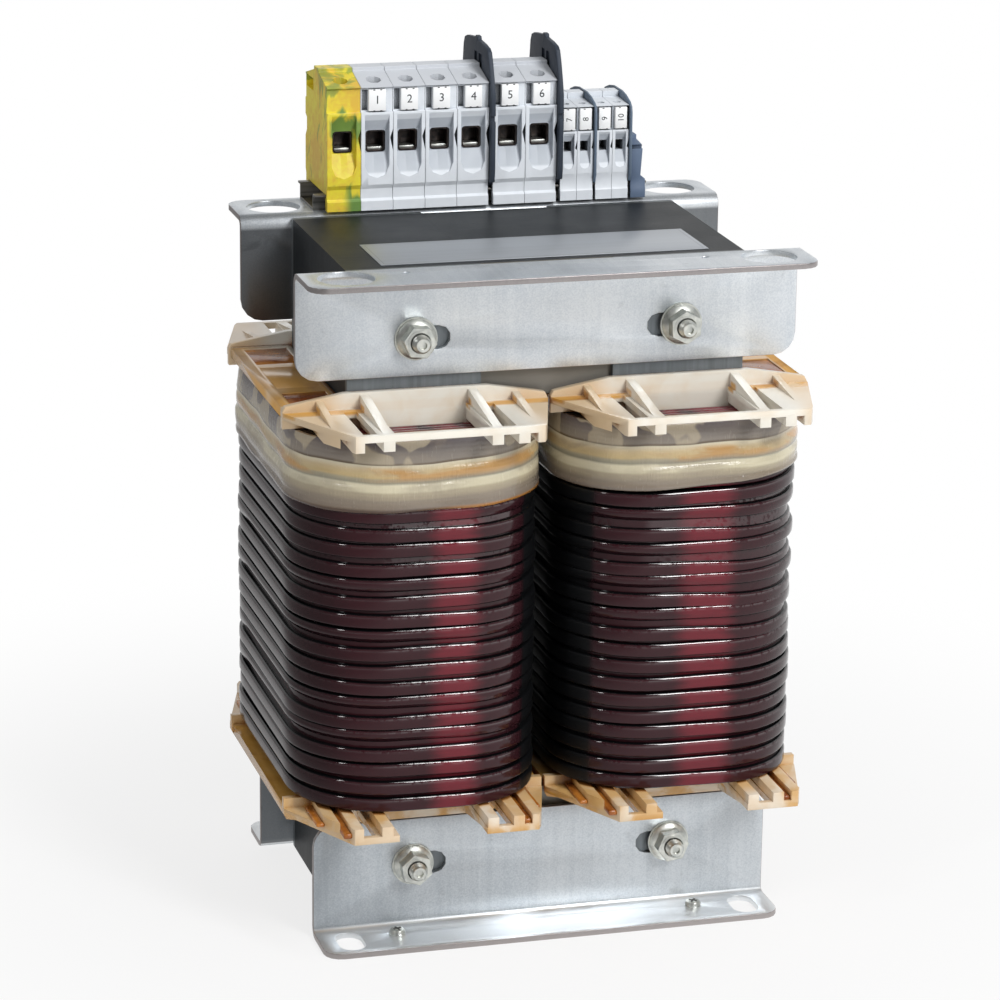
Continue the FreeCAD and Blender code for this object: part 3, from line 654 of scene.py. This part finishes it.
# Tape wraps
# The top of each winding is bound with woven glass tape in several layers, soaked with amber
# varnish that has run into its folds. The lowest layer ends in a lip on the top turn.
tape_low = 205.6
tape_levels = [
    (0.9, 0.0), (1.9, 0.7), (2.1, 2.4), (1.5, 3.6), (1.9, 5.2), (2.2, 8.0), (2.1, 11.0),
    (1.6, 12.4), (1.3, 13.4), (1.8, 14.6), (1.9, 17.0), (1.5, 19.0), (1.1, 20.2), (1.4, 22.0),
    (1.3, 26.0), (0.8, 29.5), (0.3, 31.2),
]


def tape_form(centre, seed):
    form = bmesh.new()
    section = [(out, up) for out, up in tape_levels] + [(-1.2, 31.2), (-1.2, 0.0)]
    loop = [
        point + Vector((centre, 0, 0))
        for point, outward in corner_path(55.2, 86.7, 40.7, tape_low, 4.0)
    ]
    sweep(form, [loop], section)
    for vert in form.verts:
        side = Vector((vert.co.x - centre, vert.co.y, 0))
        sway = noise.noise(Vector((vert.co.x / 24 + seed, vert.co.y / 24, vert.co.z / 6)))
        up = noise.noise(Vector((vert.co.x / 30, vert.co.y / 30 + seed, 3.0)))
        vert.co += side.normalized() * sway * 0.8
        vert.co.z += up * 1.1 * min(1.0, (coil_high - vert.co.z) / 12)
        if centre > 0:
            share = max(
                0.0, 1 - max(vert.co.z - tape_low, 0.0) / 14
            ) * (1 - smooth_step(vert.co.y, -30.0, 30.0))
            vert.co.z += (0.05 * max(vert.co.x - centre + 25.0, 0.0) + 1.2) * share
    return form


place = new_finish("varnished_glass_tape")
height = place.axis("Z") * 1000
drift = (place.stretched(1.0, 1.0, 0.25).noise(19.0, 2.0) - 0.5) * 5.5
rise = height + drift - tape_low
bands = rise.node(
    "ValToRGB",
    {
        "stops": [
            (0.00, "766759"), (0.10, "7E7266"), (0.20, "8A7E6E"), (0.24, "9C907A"),
            (0.31, "ABA086"), (0.34, "CBC2A6"), (0.43, "D0C8AE"), (0.46, "8F8A78"),
            (0.51, "A09880"), (0.54, "BFA97C"), (0.62, "C4B08A"), (0.70, "CFC5AC"),
            (0.715, "54432F"), (0.75, "857C72"), (0.86, "7B736C"), (1.00, "5A5254"),
        ]
    },
    Fac=rise / 31.5,
)
veil = place.stretched(1.0, 1.0, 2.5).noise(36.0, 4.0, 0.4).rise(0.48, 0.66)
bands = (veil * 0.45).mixed(bands, "8E8272")
threads = place.stretched(1.0, 1.0, 0.12).noise(1100.0, 2.0)
weft = place.node(
    "TexWave", {"bands_direction": "Z"}, output=1, Vector=place, Scale=160.0, Distortion=2.0
)
low_edge = (height - tape_low + (drift * 0.25)).rise(2.6, 0.9)
amber_edge = place.axis("X").between(-0.052, 0.0, 0.018)
stain = place.stretched(1.0, 1.0, 3.0).noise(24.0, 4.0, 0.8).rise(0.44, 0.58) * rise.between(
    15.5, 20.5, 1.5
)
patches = place.noise(48.0, 2.0).rise(0.49, 0.52) * rise.rise(22.0, 23.5)
layered = (patches * 0.75).mixed(bands, "B3A68E")
edged = low_edge.mixed((stain * 0.8).mixed(layered, "B98A4C"), amber_edge.mixed("4E3A2C", "B57A36"))
pearls = place.noise(260.0, 2.0)
glass_tape = close_finish(
    place,
    height=threads * 0.45 + weft * 0.12 + stain * 0.4 + pearls * 0.3,
    depth=0.0005,
    Base_Color=edged,
    Roughness=threads * 0.2 + 0.14,
    Coat_Weight=stain * 0.3 + 0.45,
    Coat_Roughness=0.06,
)
for seed, (leg, centre) in enumerate(coils.items()):
    place_piece(
        "tape_layers_" + leg, tape_form(centre, seed * 7.3), glass_tape, "tape",
        "tape_wrap_" + leg, angle=60.0,
    )


# Brackets
# Two folded steel angles at the top and two at the foot, galvanised, clamp the yokes. The zinc has
# a faint mottled grain, and the sheared edges are a little browner.
def zinc_sheet(name, half_length, reach, free_edge, upward, light, dark):
    """Galvanised sheet, browner on its sheared edges. Its lengths and free edge are in mm."""
    place = new_finish(name)
    specks = place.noise(1500.0, 2.0)
    clouds = place.noise(26.0, 4.0, 0.3)
    broad = place.noise(9.0, 2.0)
    rolled = place.stretched(330.0, 6.0, 6.0).noise(1.0, 2.0)
    smudge = place.noise(70.0, 5.0, 0.5).rise(0.64, 0.76)
    tone = (specks * 0.35 + clouds * 0.3 + rolled * 0.15 + broad * 0.2).rise(0.32, 0.68)
    zinc = tone.mixed(dark, light)
    zinc = (smudge * 0.4).mixed(zinc, "7B7F84")
    up = place.axis("Z")
    # Painted highlight: the lowest few millimetres, the foot flanges, are turned nearly white.
    zinc = (up.rise(0.0045, 0.0032) * 0.85).mixed(zinc, "F4F7F9")
    # Painted shade: the face of the rear angles that looks to the front, below the top flange, is
    # turned dark grey.
    shaded_rear_face = place.axis("Y").between(0.0534, 0.0547, 0.0002) * up.rise(0.301, 0.299)
    zinc = (shaded_rear_face * 0.75).mixed(zinc, "3A3E42")

    def past(distance, start):
        return (distance - start / 1000).at_least(0.0)

    def rim(first, second, radius):
        return (first * first + second * second).math("SQRT").rise(
            radius / 1000 - 0.00025, radius / 1000 - 0.00015
        )

    across = abs(place.axis("X"))
    out = abs(place.axis("Y"))
    cut = rim(past(across, half_length - 8.0), past(out, reach - 8.0), 8.0)
    cut = cut.at_least(
        rim(past(across, half_length - 10.0), past(up * upward, free_edge * upward - 10.0), 10.0)
    )
    return close_finish(
        place,
        height=specks * 0.6 + rolled * 0.4,
        depth=0.00004,
        Base_Color=(cut * 0.7).mixed(zinc, "8C7C76"),
        Roughness=clouds * 0.2 + specks * 0.12 + 0.24,
        Metallic=0.9,
    )


for sheet_set, limits in (
    ("top", (113.45, 88.4, 257.2, -1.0, "EEF2F5", "CAD1D8")),
    ("foot", (105.65, 84.2, 52.6, 1.0, "DFE4E8", "B8C0C7")),
):
    zinc = zinc_sheet("galvanised_" + sheet_set, *limits)
    for side in ("front", "rear"):
        node = ("top_bracket_" if sheet_set == "top" else "foot_bracket_") + side
        place_piece("folded_" + node, eased(node, 0.28), zinc, "galvanised", node)


# Clamping hardware
# Four M8 flange bolts pass through the corners of the core from the rear. At the front each has a
# thin washer and a hexagon flange nut, bright zinc plated, with the threaded end standing out.
bolt_places = [(x, z) for x in (-60.0, 60.0) for z in (31.1, 273.9)]
front_face = -56.4


def lathe(profile, steps=40):
    """A form turned from a profile of radii and heights."""
    form = bmesh.new()
    verts = [form.verts.new((radius, 0.0, height)) for radius, height in profile]
    edges = [form.edges.new(pair) for pair in zip(verts, verts[1:])]
    bmesh.ops.spin(
        form, geom=verts + edges, axis=(0, 0, 1), cent=(0, 0, 0), steps=steps, angle=math.tau,
        use_merge=True,
    )
    bmesh.ops.remove_doubles(form, verts=form.verts, dist=0.001)
    return form


def facing(x, y, z, outward, turn=0.0):
    """Stands a part that points up at a place on a front or rear face, pointing outward along Y."""
    lay = Matrix.Rotation(math.radians(-90.0 * outward), 4, "X")
    return Matrix.Translation((x, y, z)) @ lay @ Matrix.Rotation(math.radians(turn), 4, "Z")


def hexagon(across, low, high):
    """A hexagon with its far end chamfered as a turned nut's is."""
    form = bmesh.new()
    radius = across / math.sqrt(3)
    bmesh.ops.create_cone(
        form, cap_ends=True, segments=6, radius1=radius, radius2=radius, depth=high - low
    )
    bmesh.ops.translate(form, vec=(0, 0, (low + high) / 2), verts=form.verts)
    round_edges(form, sharp_edges(form, 30.0), 0.22, segments=1, clamped=False)
    return form


place = new_finish("bright_zinc_plate")
haze = place.noise(260.0, 3.0)
bright_zinc = close_finish(
    place,
    height=place.noise(1500.0, 2.0),
    depth=0.00003,
    Base_Color=haze.rise(0.3, 0.7).mixed("C6C9C4", "ECEDE6"),
    Roughness=haze * 0.2 + 0.3,
    Metallic=1.0,
)
washer_sheet = 0.8
across_flats = 13.0
flange_curve = [(8.8, 0.0), (8.95, 0.25), (8.9, 0.9), (8.3, 1.4), (7.2, 2.0), (6.4, 2.3)]
nuts = bmesh.new()
bolts = bmesh.new()
for k, (x, z) in enumerate(bolt_places):
    seat = front_face - washer_sheet
    turn = (11.0, 24.0, 38.0, 3.0)[k]
    washer = lathe(
        [(4.3, 0.0), (9.5, 0.0), (9.6, 0.1), (9.6, 0.7), (9.5, 0.8), (4.3, 0.8), (4.3, 0.0)], 48
    )
    add_part(nuts, washer, facing(x, front_face, z, -1))
    flange = [(4.2, 0.0)] + flange_curve + [(4.2, 2.3), (4.2, 0.0)]
    add_part(nuts, lathe(flange, 48), facing(x, seat, z, -1))
    add_part(nuts, hexagon(across_flats, 1.2, 7.9), facing(x, seat, z, -1, turn))
    add_part(
        nuts,
        lathe(
            [(3.2, 7.5), (5.7, 7.5), (5.7, 8.1), (4.6, 8.2), (4.1, 7.9), (3.2, 7.9), (3.2, 7.5)], 36
        ),
        facing(x, seat, z, -1),
    )
    thread = [(0.0, -5.0), (3.6, -5.0)]
    for ridge in range(12):
        low = ridge * 1.25 - 3.4
        thread += [(3.35, low), (4.0, low + 0.6), (3.35, low + 1.25)]
    thread += [(3.3, 12.0), (2.9, 12.5), (1.7, 12.5), (1.5, 11.2), (0.0, 11.0)]
    add_part(bolts, lathe(thread, 28), facing(x, seat, z, -1))
    head = [(0.0, 0.0)] + flange_curve + [(0.0, 2.3)]
    add_part(bolts, lathe(head, 48), facing(x, -front_face, z, 1))
    add_part(bolts, hexagon(across_flats, 1.2, 8.2), facing(x, -front_face, z, 1, turn + 20))
    shank = lathe([(0.0, 0.0), (4.0, 0.0), (4.0, 112.0), (0.0, 112.0)], 24)
    add_part(bolts, shank, facing(x, front_face + 0.5, z, 1))
place_piece(
    "flange_nuts", nuts, bright_zinc, "zinc_fastener", "clamp_nuts", "clamp_washers", angle=24.0
)
place_piece("flange_bolts", bolts, bright_zinc, "zinc_fastener", "clamp_bolts", angle=24.0)


# Foot and rail screws
# Small pan head screws of bright zinc plated steel, each with a cross recess. The recess is drawn
# as a dark cross set on the head, painted shade in place of the sunk recess. Two are in the front
# foot, and two hold the terminal rail.
def pan_screw(x, y, z, radius, rise, shank, turn):
    """A pan head screw that stands on a level seat."""
    head = lathe(
        [
            (0.0, 0.0), (radius, 0.0), (radius, rise * 0.45), (radius * 0.86, rise * 0.86),
            (radius * 0.5, rise), (0.0, rise),
        ],
        28,
    )
    top = [face for face in head.faces if face.calc_center_median().z > rise * 0.97]
    cross = bmesh.new()
    for angle in (0.0, 90.0):
        arm = bmesh.new()
        bmesh.ops.create_cube(arm, size=1.0)
        bmesh.ops.scale(arm, vec=(radius * 1.05, radius * 0.26, rise * 0.3), verts=arm.verts)
        add_part(
            cross, arm,
            Matrix.Translation((0, 0, rise * 0.9)) @ Matrix.Rotation(math.radians(angle), 4, "Z"),
        )
    whole = bmesh.new()
    place_at = Matrix.Translation((x, y, z)) @ Matrix.Rotation(math.radians(turn), 4, "Z")
    add_part(whole, head, place_at)
    stem = [(0.0, 0.3)] + [
        (1.6 + 0.25 * (step % 2), -shank * step / 8) for step in range(9)
    ] + [(0.0, -shank)]
    add_part(whole, lathe(stem, 20), place_at)
    return whole, cross, place_at


# Painted shade: the dark crosses that stand for the screw recesses.
place = new_finish("screw_recess")
recess_shade_mottle = place.noise(900.0, 2.0)
recess_dark = close_finish(
    place, Base_Color=recess_shade_mottle.mixed("3A3A38", "6B6A66"), Roughness=0.5, Metallic=0.8
)
recesses = bmesh.new()
screw_rows = [
    ("foot_cross_screws", "foot_screws", [(-69.5, -66.5, 2.5), (69.5, -66.5, 2.5)], 3.6, 2.4, 2.2),
    (
        "rail_cross_screws", "rail_screws", [(-72.3, 73.7, 306.9), (72.3, 73.7, 306.9)], 3.4,
        2.2, 4.9,
    ),
]
for name, node, places, radius, rise, shank in screw_rows:
    form = bmesh.new()
    for k, (x, y, z) in enumerate(places):
        whole, cross, place_at = pan_screw(x, y, z, radius, rise, shank, 20.0 + 31.0 * k)
        add_part(form, whole)
        add_part(recesses, cross, place_at @ Matrix.Translation((0, 0, 0.06)))
    place_piece(name, form, bright_zinc, "zinc_fastener", node)
place_piece("cross_recesses", recesses, recess_dark, "zinc_fastener")


# Rating label
# A plain metallic film, stuck flat on the top yoke near its front edge. A fine border runs round
# it, about 2 mm inside its edge.
place = new_finish("bare_label_film")
brushed = place.stretched(8.0, 900.0, 1.0).noise(1.0, 2.0)
from_middle_x = abs(place.axis("X") - 0.00125)
from_middle_y = abs(place.axis("Y") + 0.026)
ends = from_middle_x.between(0.0722, 0.0726, 0.0001) * from_middle_y.rise(0.0185, 0.0181)
sides = from_middle_y.between(0.0179, 0.0183, 0.0001) * from_middle_x.rise(0.0728, 0.0724)
border = ends.at_least(sides)
film = brushed.rise(0.2, 0.8).mixed("A8ADB3", "B5BAC0")
label_film = close_finish(
    place,
    Base_Color=(border * 0.45).mixed(film, "6C6F73"),
    Roughness=brushed * 0.2 + 0.3,
    Metallic=0.5,
)
place_piece("label_film", eased("rating_label", 0.1), label_film, "label", "rating_label")


# Terminal rail
# A hat section rolled from passivated steel strip. Two screws through its base hold it on the rear
# top bracket.
place = new_finish("passivated_strip")
rolled = place.stretched(12.0, 700.0, 700.0).noise(1.0, 3.0)
passivated = close_finish(
    place,
    height=rolled,
    depth=0.00003,
    Base_Color=rolled.rise(0.3, 0.7).mixed("6C6A66", "999690"),
    Roughness=rolled * 0.2 + 0.28,
    Metallic=0.9,
)
place_piece("hat_rail", eased("terminal_rail", 0.2), passivated, "rail_steel", "terminal_rail")


# Feed and small terminals
# Moulded light grey polyamide housings that hook over the rail. At the front and the rear each has
# a wire entry, a screw shaft above it and a seat for a tag. The large ones show a clamp inside.
def pull(form, faces, away):
    """Extrudes faces of a form, and moves the new ones."""
    made = bmesh.ops.extrude_face_region(form, geom=faces)
    moved = [part for part in made["geom"] if isinstance(part, bmesh.types.BMVert)]
    bmesh.ops.translate(form, vec=away, verts=moved)


def sink(form, facing, face_at, across, up, depth):
    """Sinks a recess, in mm, into a face that points to the front (facing 1) or the left (0)."""
    side = 1 - facing
    for line, at in ((side, across[0]), (side, across[1]), (2, up[0]), (2, up[1])):
        normal = Vector((line == 0, line == 1, line == 2))
        geometry = form.verts[:] + form.edges[:] + form.faces[:]
        bmesh.ops.bisect_plane(
            form, geom=geometry, dist=0.0001, plane_co=normal * at, plane_no=normal
        )
    form.normal_update()
    inside = []
    for face in form.faces:
        middle = face.calc_center_median()
        if face.normal[facing] < -0.9 and abs(middle[facing] - face_at) < 0.3:
            if across[0] < middle[side] < across[1] and up[0] < middle.z < up[1]:
                inside.append(face)
    pull(form, inside, (depth if facing == 0 else 0.0, depth if facing == 1 else 0.0, 0.0))
    bmesh.ops.delete(form, geom=[face for face in inside if face.is_valid], context="FACES_ONLY")


housing_front = 53.5
housing_rear = 97.5
entry_faces = ((housing_front, -1), (housing_rear, 1))
entry_half_width = 4.65
entry_low = 332.3
entry_high = 342.5
entry_radius = 1.5
bend_steps = 6


def round_entries(form, x):
    """Fills the corners of the square wire entries of both faces, so that they have round ones."""
    inner = entry_half_width - entry_radius
    for face_y, outward in entry_faces:
        for side in (-1, 1):
            for z, up in ((entry_low, -1), (entry_high, 1)):
                part = bmesh.new()
                points = [(x + side * (entry_half_width + 0.1), z + up * 0.1)]
                for step in range(bend_steps + 1):
                    turn = math.pi / 2 * step / bend_steps
                    reach = inner + entry_radius * math.sin(turn)
                    points.append(
                        (x + side * reach, z + up * (entry_radius * math.cos(turn) - entry_radius))
                    )
                verts = [part.verts.new((px, face_y - outward * 3.45, pz)) for px, pz in points]
                pull(part, [part.faces.new(verts)], (0, -outward * 1.2, 0))
                add_part(form, part)


def moulded(name, light, dark, roughness=0.38, gloss=0.5, crown=None):
    """A moulded plastic with a faint flow pattern, painted shade in its corners and deep recesses
    and a greyer crown. With a crown, the wire pockets are painted greyer too, as shade.
    """
    place = new_finish(name)
    flow = place.noise(130.0, 3.0, 0.5)
    sand = place.noise(2600.0, 2.0)
    # Painted shade: the corners turn towards the dark tone, mixed with the flow pattern.
    corner = place.node("AmbientOcclusion", {"samples": 6}, output=1, Distance=0.003).rise(0.7, 0.2)
    deep = place.node("AmbientOcclusion", {"samples": 6}, output=1, Distance=0.008).rise(0.3, 0.08)
    colour = (flow * 0.4 + corner * 0.6).rise(0.1, 0.8).mixed(light, dark)
    if crown:
        colour = place.axis("Z").rise(0.3617, 0.3622).mixed(colour, crown)
        # Painted shade: the wire pockets under the front entries turn greyer.
        inward = place.axis("Y") - place.axis("X").rise(0.035, 0.037) * 0.0009
        hollow = inward.between(
            0.0542, 0.07, 0.0003
        ) * place.axis("Z").rise(0.3478, 0.347) * place.axis("Z").rise(0.3225, 0.3235)
        colour = (hollow * 0.55).mixed(colour, "9FA7B1")
    # Painted shade: deep recesses go near black.
    colour = deep.mixed(colour, "1E2023")
    return close_finish(
        place,
        height=sand,
        depth=0.00002,
        Base_Color=colour,
        Roughness=flow * 0.12 + roughness,
        Specular_IOR_Level=gloss,
    )


terminal_grey = moulded("grey_polyamide", "E3E8EE", "AEB5BE", crown="C9CDD3")
large_centres = (-50.3, -35.3, -20.3, -5.3, 11.9, 26.9)
small_centres = (40.52, 48.38, 57.42, 65.28)
for k, x in enumerate(large_centres):
    node = "feed_terminal_%d" % (k + 1)
    form = eased(node, 0.2, degrees=52.0, centre=x, spared=6.2)
    sink(form, 1, 55.1, (x - 7.0, x - 4.15), (352.0, 361.6), 3.0)
    sink(form, 1, housing_front, (x - 1.0, x + 2.0), (349.1, 349.8), 1.5)
    sink(form, 1, housing_front, (x + 2.1, x + 3.6), (348.4, 349.8), 1.5)
    round_entries(form, x)
    place_piece("feed_housing_%d" % (k + 1), form, terminal_grey, "terminal_grey", node, angle=11.0)
for k, x in enumerate(small_centres):
    node = "small_terminal_%d" % (k + 1)
    form = eased(node, 0.15, degrees=52.0, centre=x, spared=3.0)
    sink(form, 1, 56.0, (x + 2.85, x + 3.75), (339.0, 349.0), 2.0)
    place_piece(
        "small_housing_%d" % (k + 1), form, terminal_grey, "terminal_grey", node, angle=11.0
    )

# Painted shade: the clamps and the screws down in their shafts are coloured near black, as the
# shade inside the housings.
place = new_finish("clamp_metal")
film = place.noise(500.0, 3.0)
clamp_metal = close_finish(
    place,
    height=film,
    depth=0.00004,
    Base_Color=film.rise(0.3, 0.7).mixed("1C1819", "3E3430"),
    Roughness=film * 0.2 + 0.3,
    Metallic=0.6,
)
dress(clamp_metal, "terminal_screws")
cages = bmesh.new()
jaws = bmesh.new()
for x in (-65.7,) + large_centres:
    for face_y, outward in entry_faces:
        cage = bmesh.new()
        sweep(cage, [loop_round(0.0, 4.55, 5.0, 1.8, 0.0)], rounded_section(0.9, 8.4, 0.25))
        slab(cage, (-4.1, -4.5, -3.6), (4.1, 4.5, -2.8), 0.2)
        seat = facing(x, face_y - outward * 8.3, 337.4, outward)
        add_part(cages, cage, seat)
        slab(
            jaws, (-3.6, -4.2 if outward < 0 else 2.9, -2.6),
            (3.6, -2.9 if outward < 0 else 4.2, 3.0), 0.35, 2, seat,
        )
place_piece("clamp_cages", cages, clamp_metal, "zinc_fastener", "terminal_cages")
place_piece("clamp_jaws", jaws, bright_zinc, "zinc_fastener")


# Earth terminal
# The same housing in yellow, streaked with green all through the plastic. It stands first in the
# row, and has a slot in its left side.
place = new_finish("yellow_green_polyamide")
swirl = place.stretched(1.0, 1.0, 0.5).noise(95.0, 3.0, 1.4)
fine = place.noise(300.0, 3.0, 0.5)
drawn = place.axis("Z") + (swirl - 0.5) * 0.03
by_entry = drawn.between(0.3385, 0.3495, 0.002) * abs(place.axis("X")).rise(0.0735, 0.071)
by_foot = drawn.rise(0.3165, 0.313) * place.axis("X").rise(-0.067, -0.0615)
by_crown = drawn.rise(0.3605, 0.3625) * swirl.rise(0.4, 0.62)
green = (by_entry * 0.95).at_least(by_foot).at_least(by_crown * 0.7).at_least(
    (swirl * 0.9 + fine * 0.1).rise(0.58, 0.68) * 0.6
)
yellow = (fine * 0.4 + place.noise(38.0, 2.0) * 0.6).rise(0.35, 0.65).mixed("E8DA3A", "DDB640")
earth_plastic = close_finish(
    place,
    height=place.noise(2600.0, 2.0),
    depth=0.00002,
    Base_Color=(green * 0.9).mixed(yellow, "4F8746"),
    Roughness=fine * 0.15 + 0.32,
)
earth_centre = -65.65
form = eased("earth_terminal", 0.2, degrees=52.0, centre=earth_centre, spared=6.2)
sink(form, 0, -73.55, (81.0, 95.0), (357.0, 362.5), 3.0)
sink(form, 1, housing_front, (-66.7, -63.7), (349.1, 349.8), 1.5)
round_entries(form, earth_centre)
place_piece("earth_housing", form, earth_plastic, "earth_plastic", "earth_terminal", angle=11.0)


# Partitions and end pieces
# Dark slate partition plates stand proud between the groups of terminals. Thin plates close the
# open sides of the small ones, and a slate blue end stop holds the row.
partition_plastic = moulded("slate_partition", "3A414C", "252A31", 0.42, 0.2)
thin_plastic = moulded("slate_end_plate", "647385", "3C4652", 0.38, 0.3)
stop_plastic = moulded("slate_blue_stop", "62728A", "44505F", 0.38, 0.3)
partition_thickness = 2.1
partition_outline = [
    (58.0, 313.55), (54.0, 316.5), (50.8, 317.1), (50.0, 322.0), (50.0, 345.2), (51.6, 345.5),
    (51.6, 347.5), (50.0, 347.8), (50.3, 356.5), (52.4, 363.6), (55.2, 371.0), (57.6, 375.8),
    (60.0, 377.2), (66.0, 378.1), (75.4, 378.7), (75.9, 380.1), (79.2, 380.3), (79.8, 379.3),
    (94.6, 377.6), (98.4, 376.3), (100.2, 373.2), (101.5, 365.0), (101.5, 322.0), (96.0, 317.1),
    (90.0, 313.55),
]
for k, left_face in ((1, 2.25), (2, 34.45)):
    node = "partition_plate_%d" % k
    form = bmesh.new()
    profile = form.faces.new([form.verts.new((left_face, y, z)) for y, z in partition_outline])
    pull(form, [profile], (partition_thickness, 0, 0))
    bmesh.ops.recalc_face_normals(form, faces=form.faces)
    round_edges(form, sharp_edges(form, 60.0), 0.3)
    for front, rear, top in ((75.5, 80.8, 373.0), (67.6, 73.5, 373.0), (55.7, 66.0, 364.0)):
        sink(form, 0, left_face, (front, rear), (340.0, top), 0.9)
    place_piece(
        "tall_partition_%d" % k, form, partition_plastic, "partition_dark", node, angle=28.0
    )
    node = "thin_plate_%d" % k
    place_piece("end_plate_%d" % k, eased(node, 0.2), thin_plastic, "terminal_grey", node)
place_piece("clamp_stop", eased("end_stop", 0.4), stop_plastic, "stop_blue", "end_stop")
dress(bright_zinc, "end_stop_screw")


# Marker tags
# White plastic tags snap into the seats at the front of the housings. Each carries a plain printed
# number.
place = new_finish("white_tag")
sheen = place.noise(400.0, 3.0)
tag_white = close_finish(
    place,
    height=sheen,
    depth=0.00003,
    Base_Color=sheen.mixed("FDFDFD", "F3F5F6"),
    Roughness=sheen * 0.1 + 0.4,
)
place_piece("number_tags", eased("marker_tags", 0.18), tag_white, "tag_white", "marker_tags")

place = new_finish("tag_print")
patchy = place.noise(1800.0, 2.0)
print_ink = close_finish(place, Base_Color=patchy.mixed("26282B", "3C3F43"), Roughness=0.6)


def numeral(form, number, size, x, y, z, turn):
    """One printed number, standing on the face of a tag."""
    text = bpy.data.curves.new("number", "FONT")
    text.body = str(number)
    text.size = size
    text.align_x = "CENTER"
    text.align_y = "CENTER"
    text.extrude = 0.03
    text.resolution_u = 3
    part = formed(text)
    bmesh.ops.remove_doubles(part, verts=part.verts, dist=0.0005)
    add_part(
        form, part,
        Matrix.Translation((x, y, z)) @ Matrix.Rotation(math.pi / 2, 4, "X") @ Matrix.Rotation(
            math.radians(turn), 4, "Z"
        ),
    )


numbers = bmesh.new()
for k, x in enumerate(large_centres):
    numeral(numbers, k + 1, 5.4, x, 53.28, 356.8, 0.0)
for k, x in enumerate(small_centres):
    numeral(numbers, k + 7, 3.9, x, 54.18, 343.9, 90.0)
for x in large_centres:
    for offset in (-1.9, 1.3):
        slab(numbers, (x + offset, 53.25, 361.3), (x + offset + 0.9, 53.4, 361.75), 0.05)
        slab(numbers, (x + offset, 53.25, 351.75), (x + offset + 0.9, 53.4, 352.2), 0.05)
for x in small_centres:
    slab(numbers, (x - 1.2, 54.1, 348.4), (x - 0.3, 54.3, 348.75), 0.05)
    slab(numbers, (x + 0.6, 54.1, 338.85), (x + 1.4, 54.3, 339.2), 0.05)
place_piece("tag_numbers", numbers, print_ink, "tag_white")


# Studio
# A plain pale floor. The main light is a soft box at the upper right, with a narrow one at the left
# and one above. A dim fill comes from all round, a little more of it from the right.
def seen(rays):
    """1 for what is seen, straight or in a reflection, and 0 for light that falls on things."""
    mask = rays.output("Is Camera Ray")
    for kind in ("Is Glossy Ray", "Is Transmission Ray"):
        mask = mask.at_least(rays.output(kind))
    return mask


place = new_finish("pale_floor")
floor_form = bmesh.new()
bmesh.ops.create_grid(floor_form, x_segments=1, y_segments=1, size=12.0)
floor_mesh = bpy.data.meshes.new("studio_floor")
floor_form.to_mesh(floor_mesh)
floor_form.free()
floor = bpy.data.objects.new("studio_floor", floor_mesh)
bpy.context.scene.collection.objects.link(floor)
rays = place.node("LightPath")
away = place.node("VectorMath", {"operation": "LENGTH"}, output=1, i0=place)
far = away.rise(0.16, 0.5)
left_dim = place.axis("X").rise(-0.4, 0.15) * 0.7 + 0.3
bright = rays.output("Is Camera Ray").at_least(left_dim)
grainy = place.noise(30.0, 2.0)
diffuse = place.node(
    "BsdfDiffuse", Color=grainy.mixed((0.80, 0.80, 0.80, 1.0), (0.83, 0.83, 0.83, 1.0))
)
glow = place.node("Emission", Color="FFFFFF", Strength=bright)
share = seen(rays) * (far * 0.22 + 0.78)
floor_mesh.materials.append(end_with(place, place.node("MixShader", i0=share, i1=diffuse, i2=glow)))

world = bpy.data.worlds.new("studio")
bpy.context.scene.world = world
world.use_nodes = True
world.node_tree.nodes.clear()
sky = Field(world.node_tree, None)
rays = sky.node("LightPath")
lit = seen(rays)
heading = sky.node("TexCoord", output="Generated")
rightward = heading.axis("X").rise(-0.8, 0.5)
fill = rightward * 0.3 + 0.32
overhead = heading.axis("Z").rise(0.8, 0.36) * 0.85 + 0.15
behind = heading.axis("Y").rise(-0.3, 0.25) * 0.8 + 0.2
shown = rays.output("Is Camera Ray").at_least((rightward * 0.62 + 0.38) * overhead * behind)
background = sky.node("Background", Color="FFFFFF", Strength=lit * (shown - fill) + fill)
sky.node("OutputWorld", Surface=background)


def soft_light(name, place_at, target, width, height, power):
    """A soft box that faces a target."""
    lamp = bpy.data.lights.new(name, "AREA")
    lamp.shape = "RECTANGLE"
    lamp.size = width
    lamp.size_y = height
    lamp.energy = power
    box = bpy.data.objects.new(name, lamp)
    box.location = place_at
    box.rotation_euler = (Vector(target) - Vector(place_at)).to_track_quat("-Z", "Y").to_euler()
    bpy.context.scene.collection.objects.link(box)


soft_light("key_light", (0.95, -2.1, 1.75), (0.0, 0.0, 0.18), 0.7, 0.9, 36.0)
soft_light("left_strip", (-1.85, -1.05, 1.6), (0.0, 0.0, 0.18), 0.2, 0.9, 8.0)
soft_light("top_strip", (0.52, -0.95, 1.95), (0.0, 0.0, 0.15), 0.3, 0.9, 9.0)

bpy.context.scene.view_settings.view_transform = "Standard"
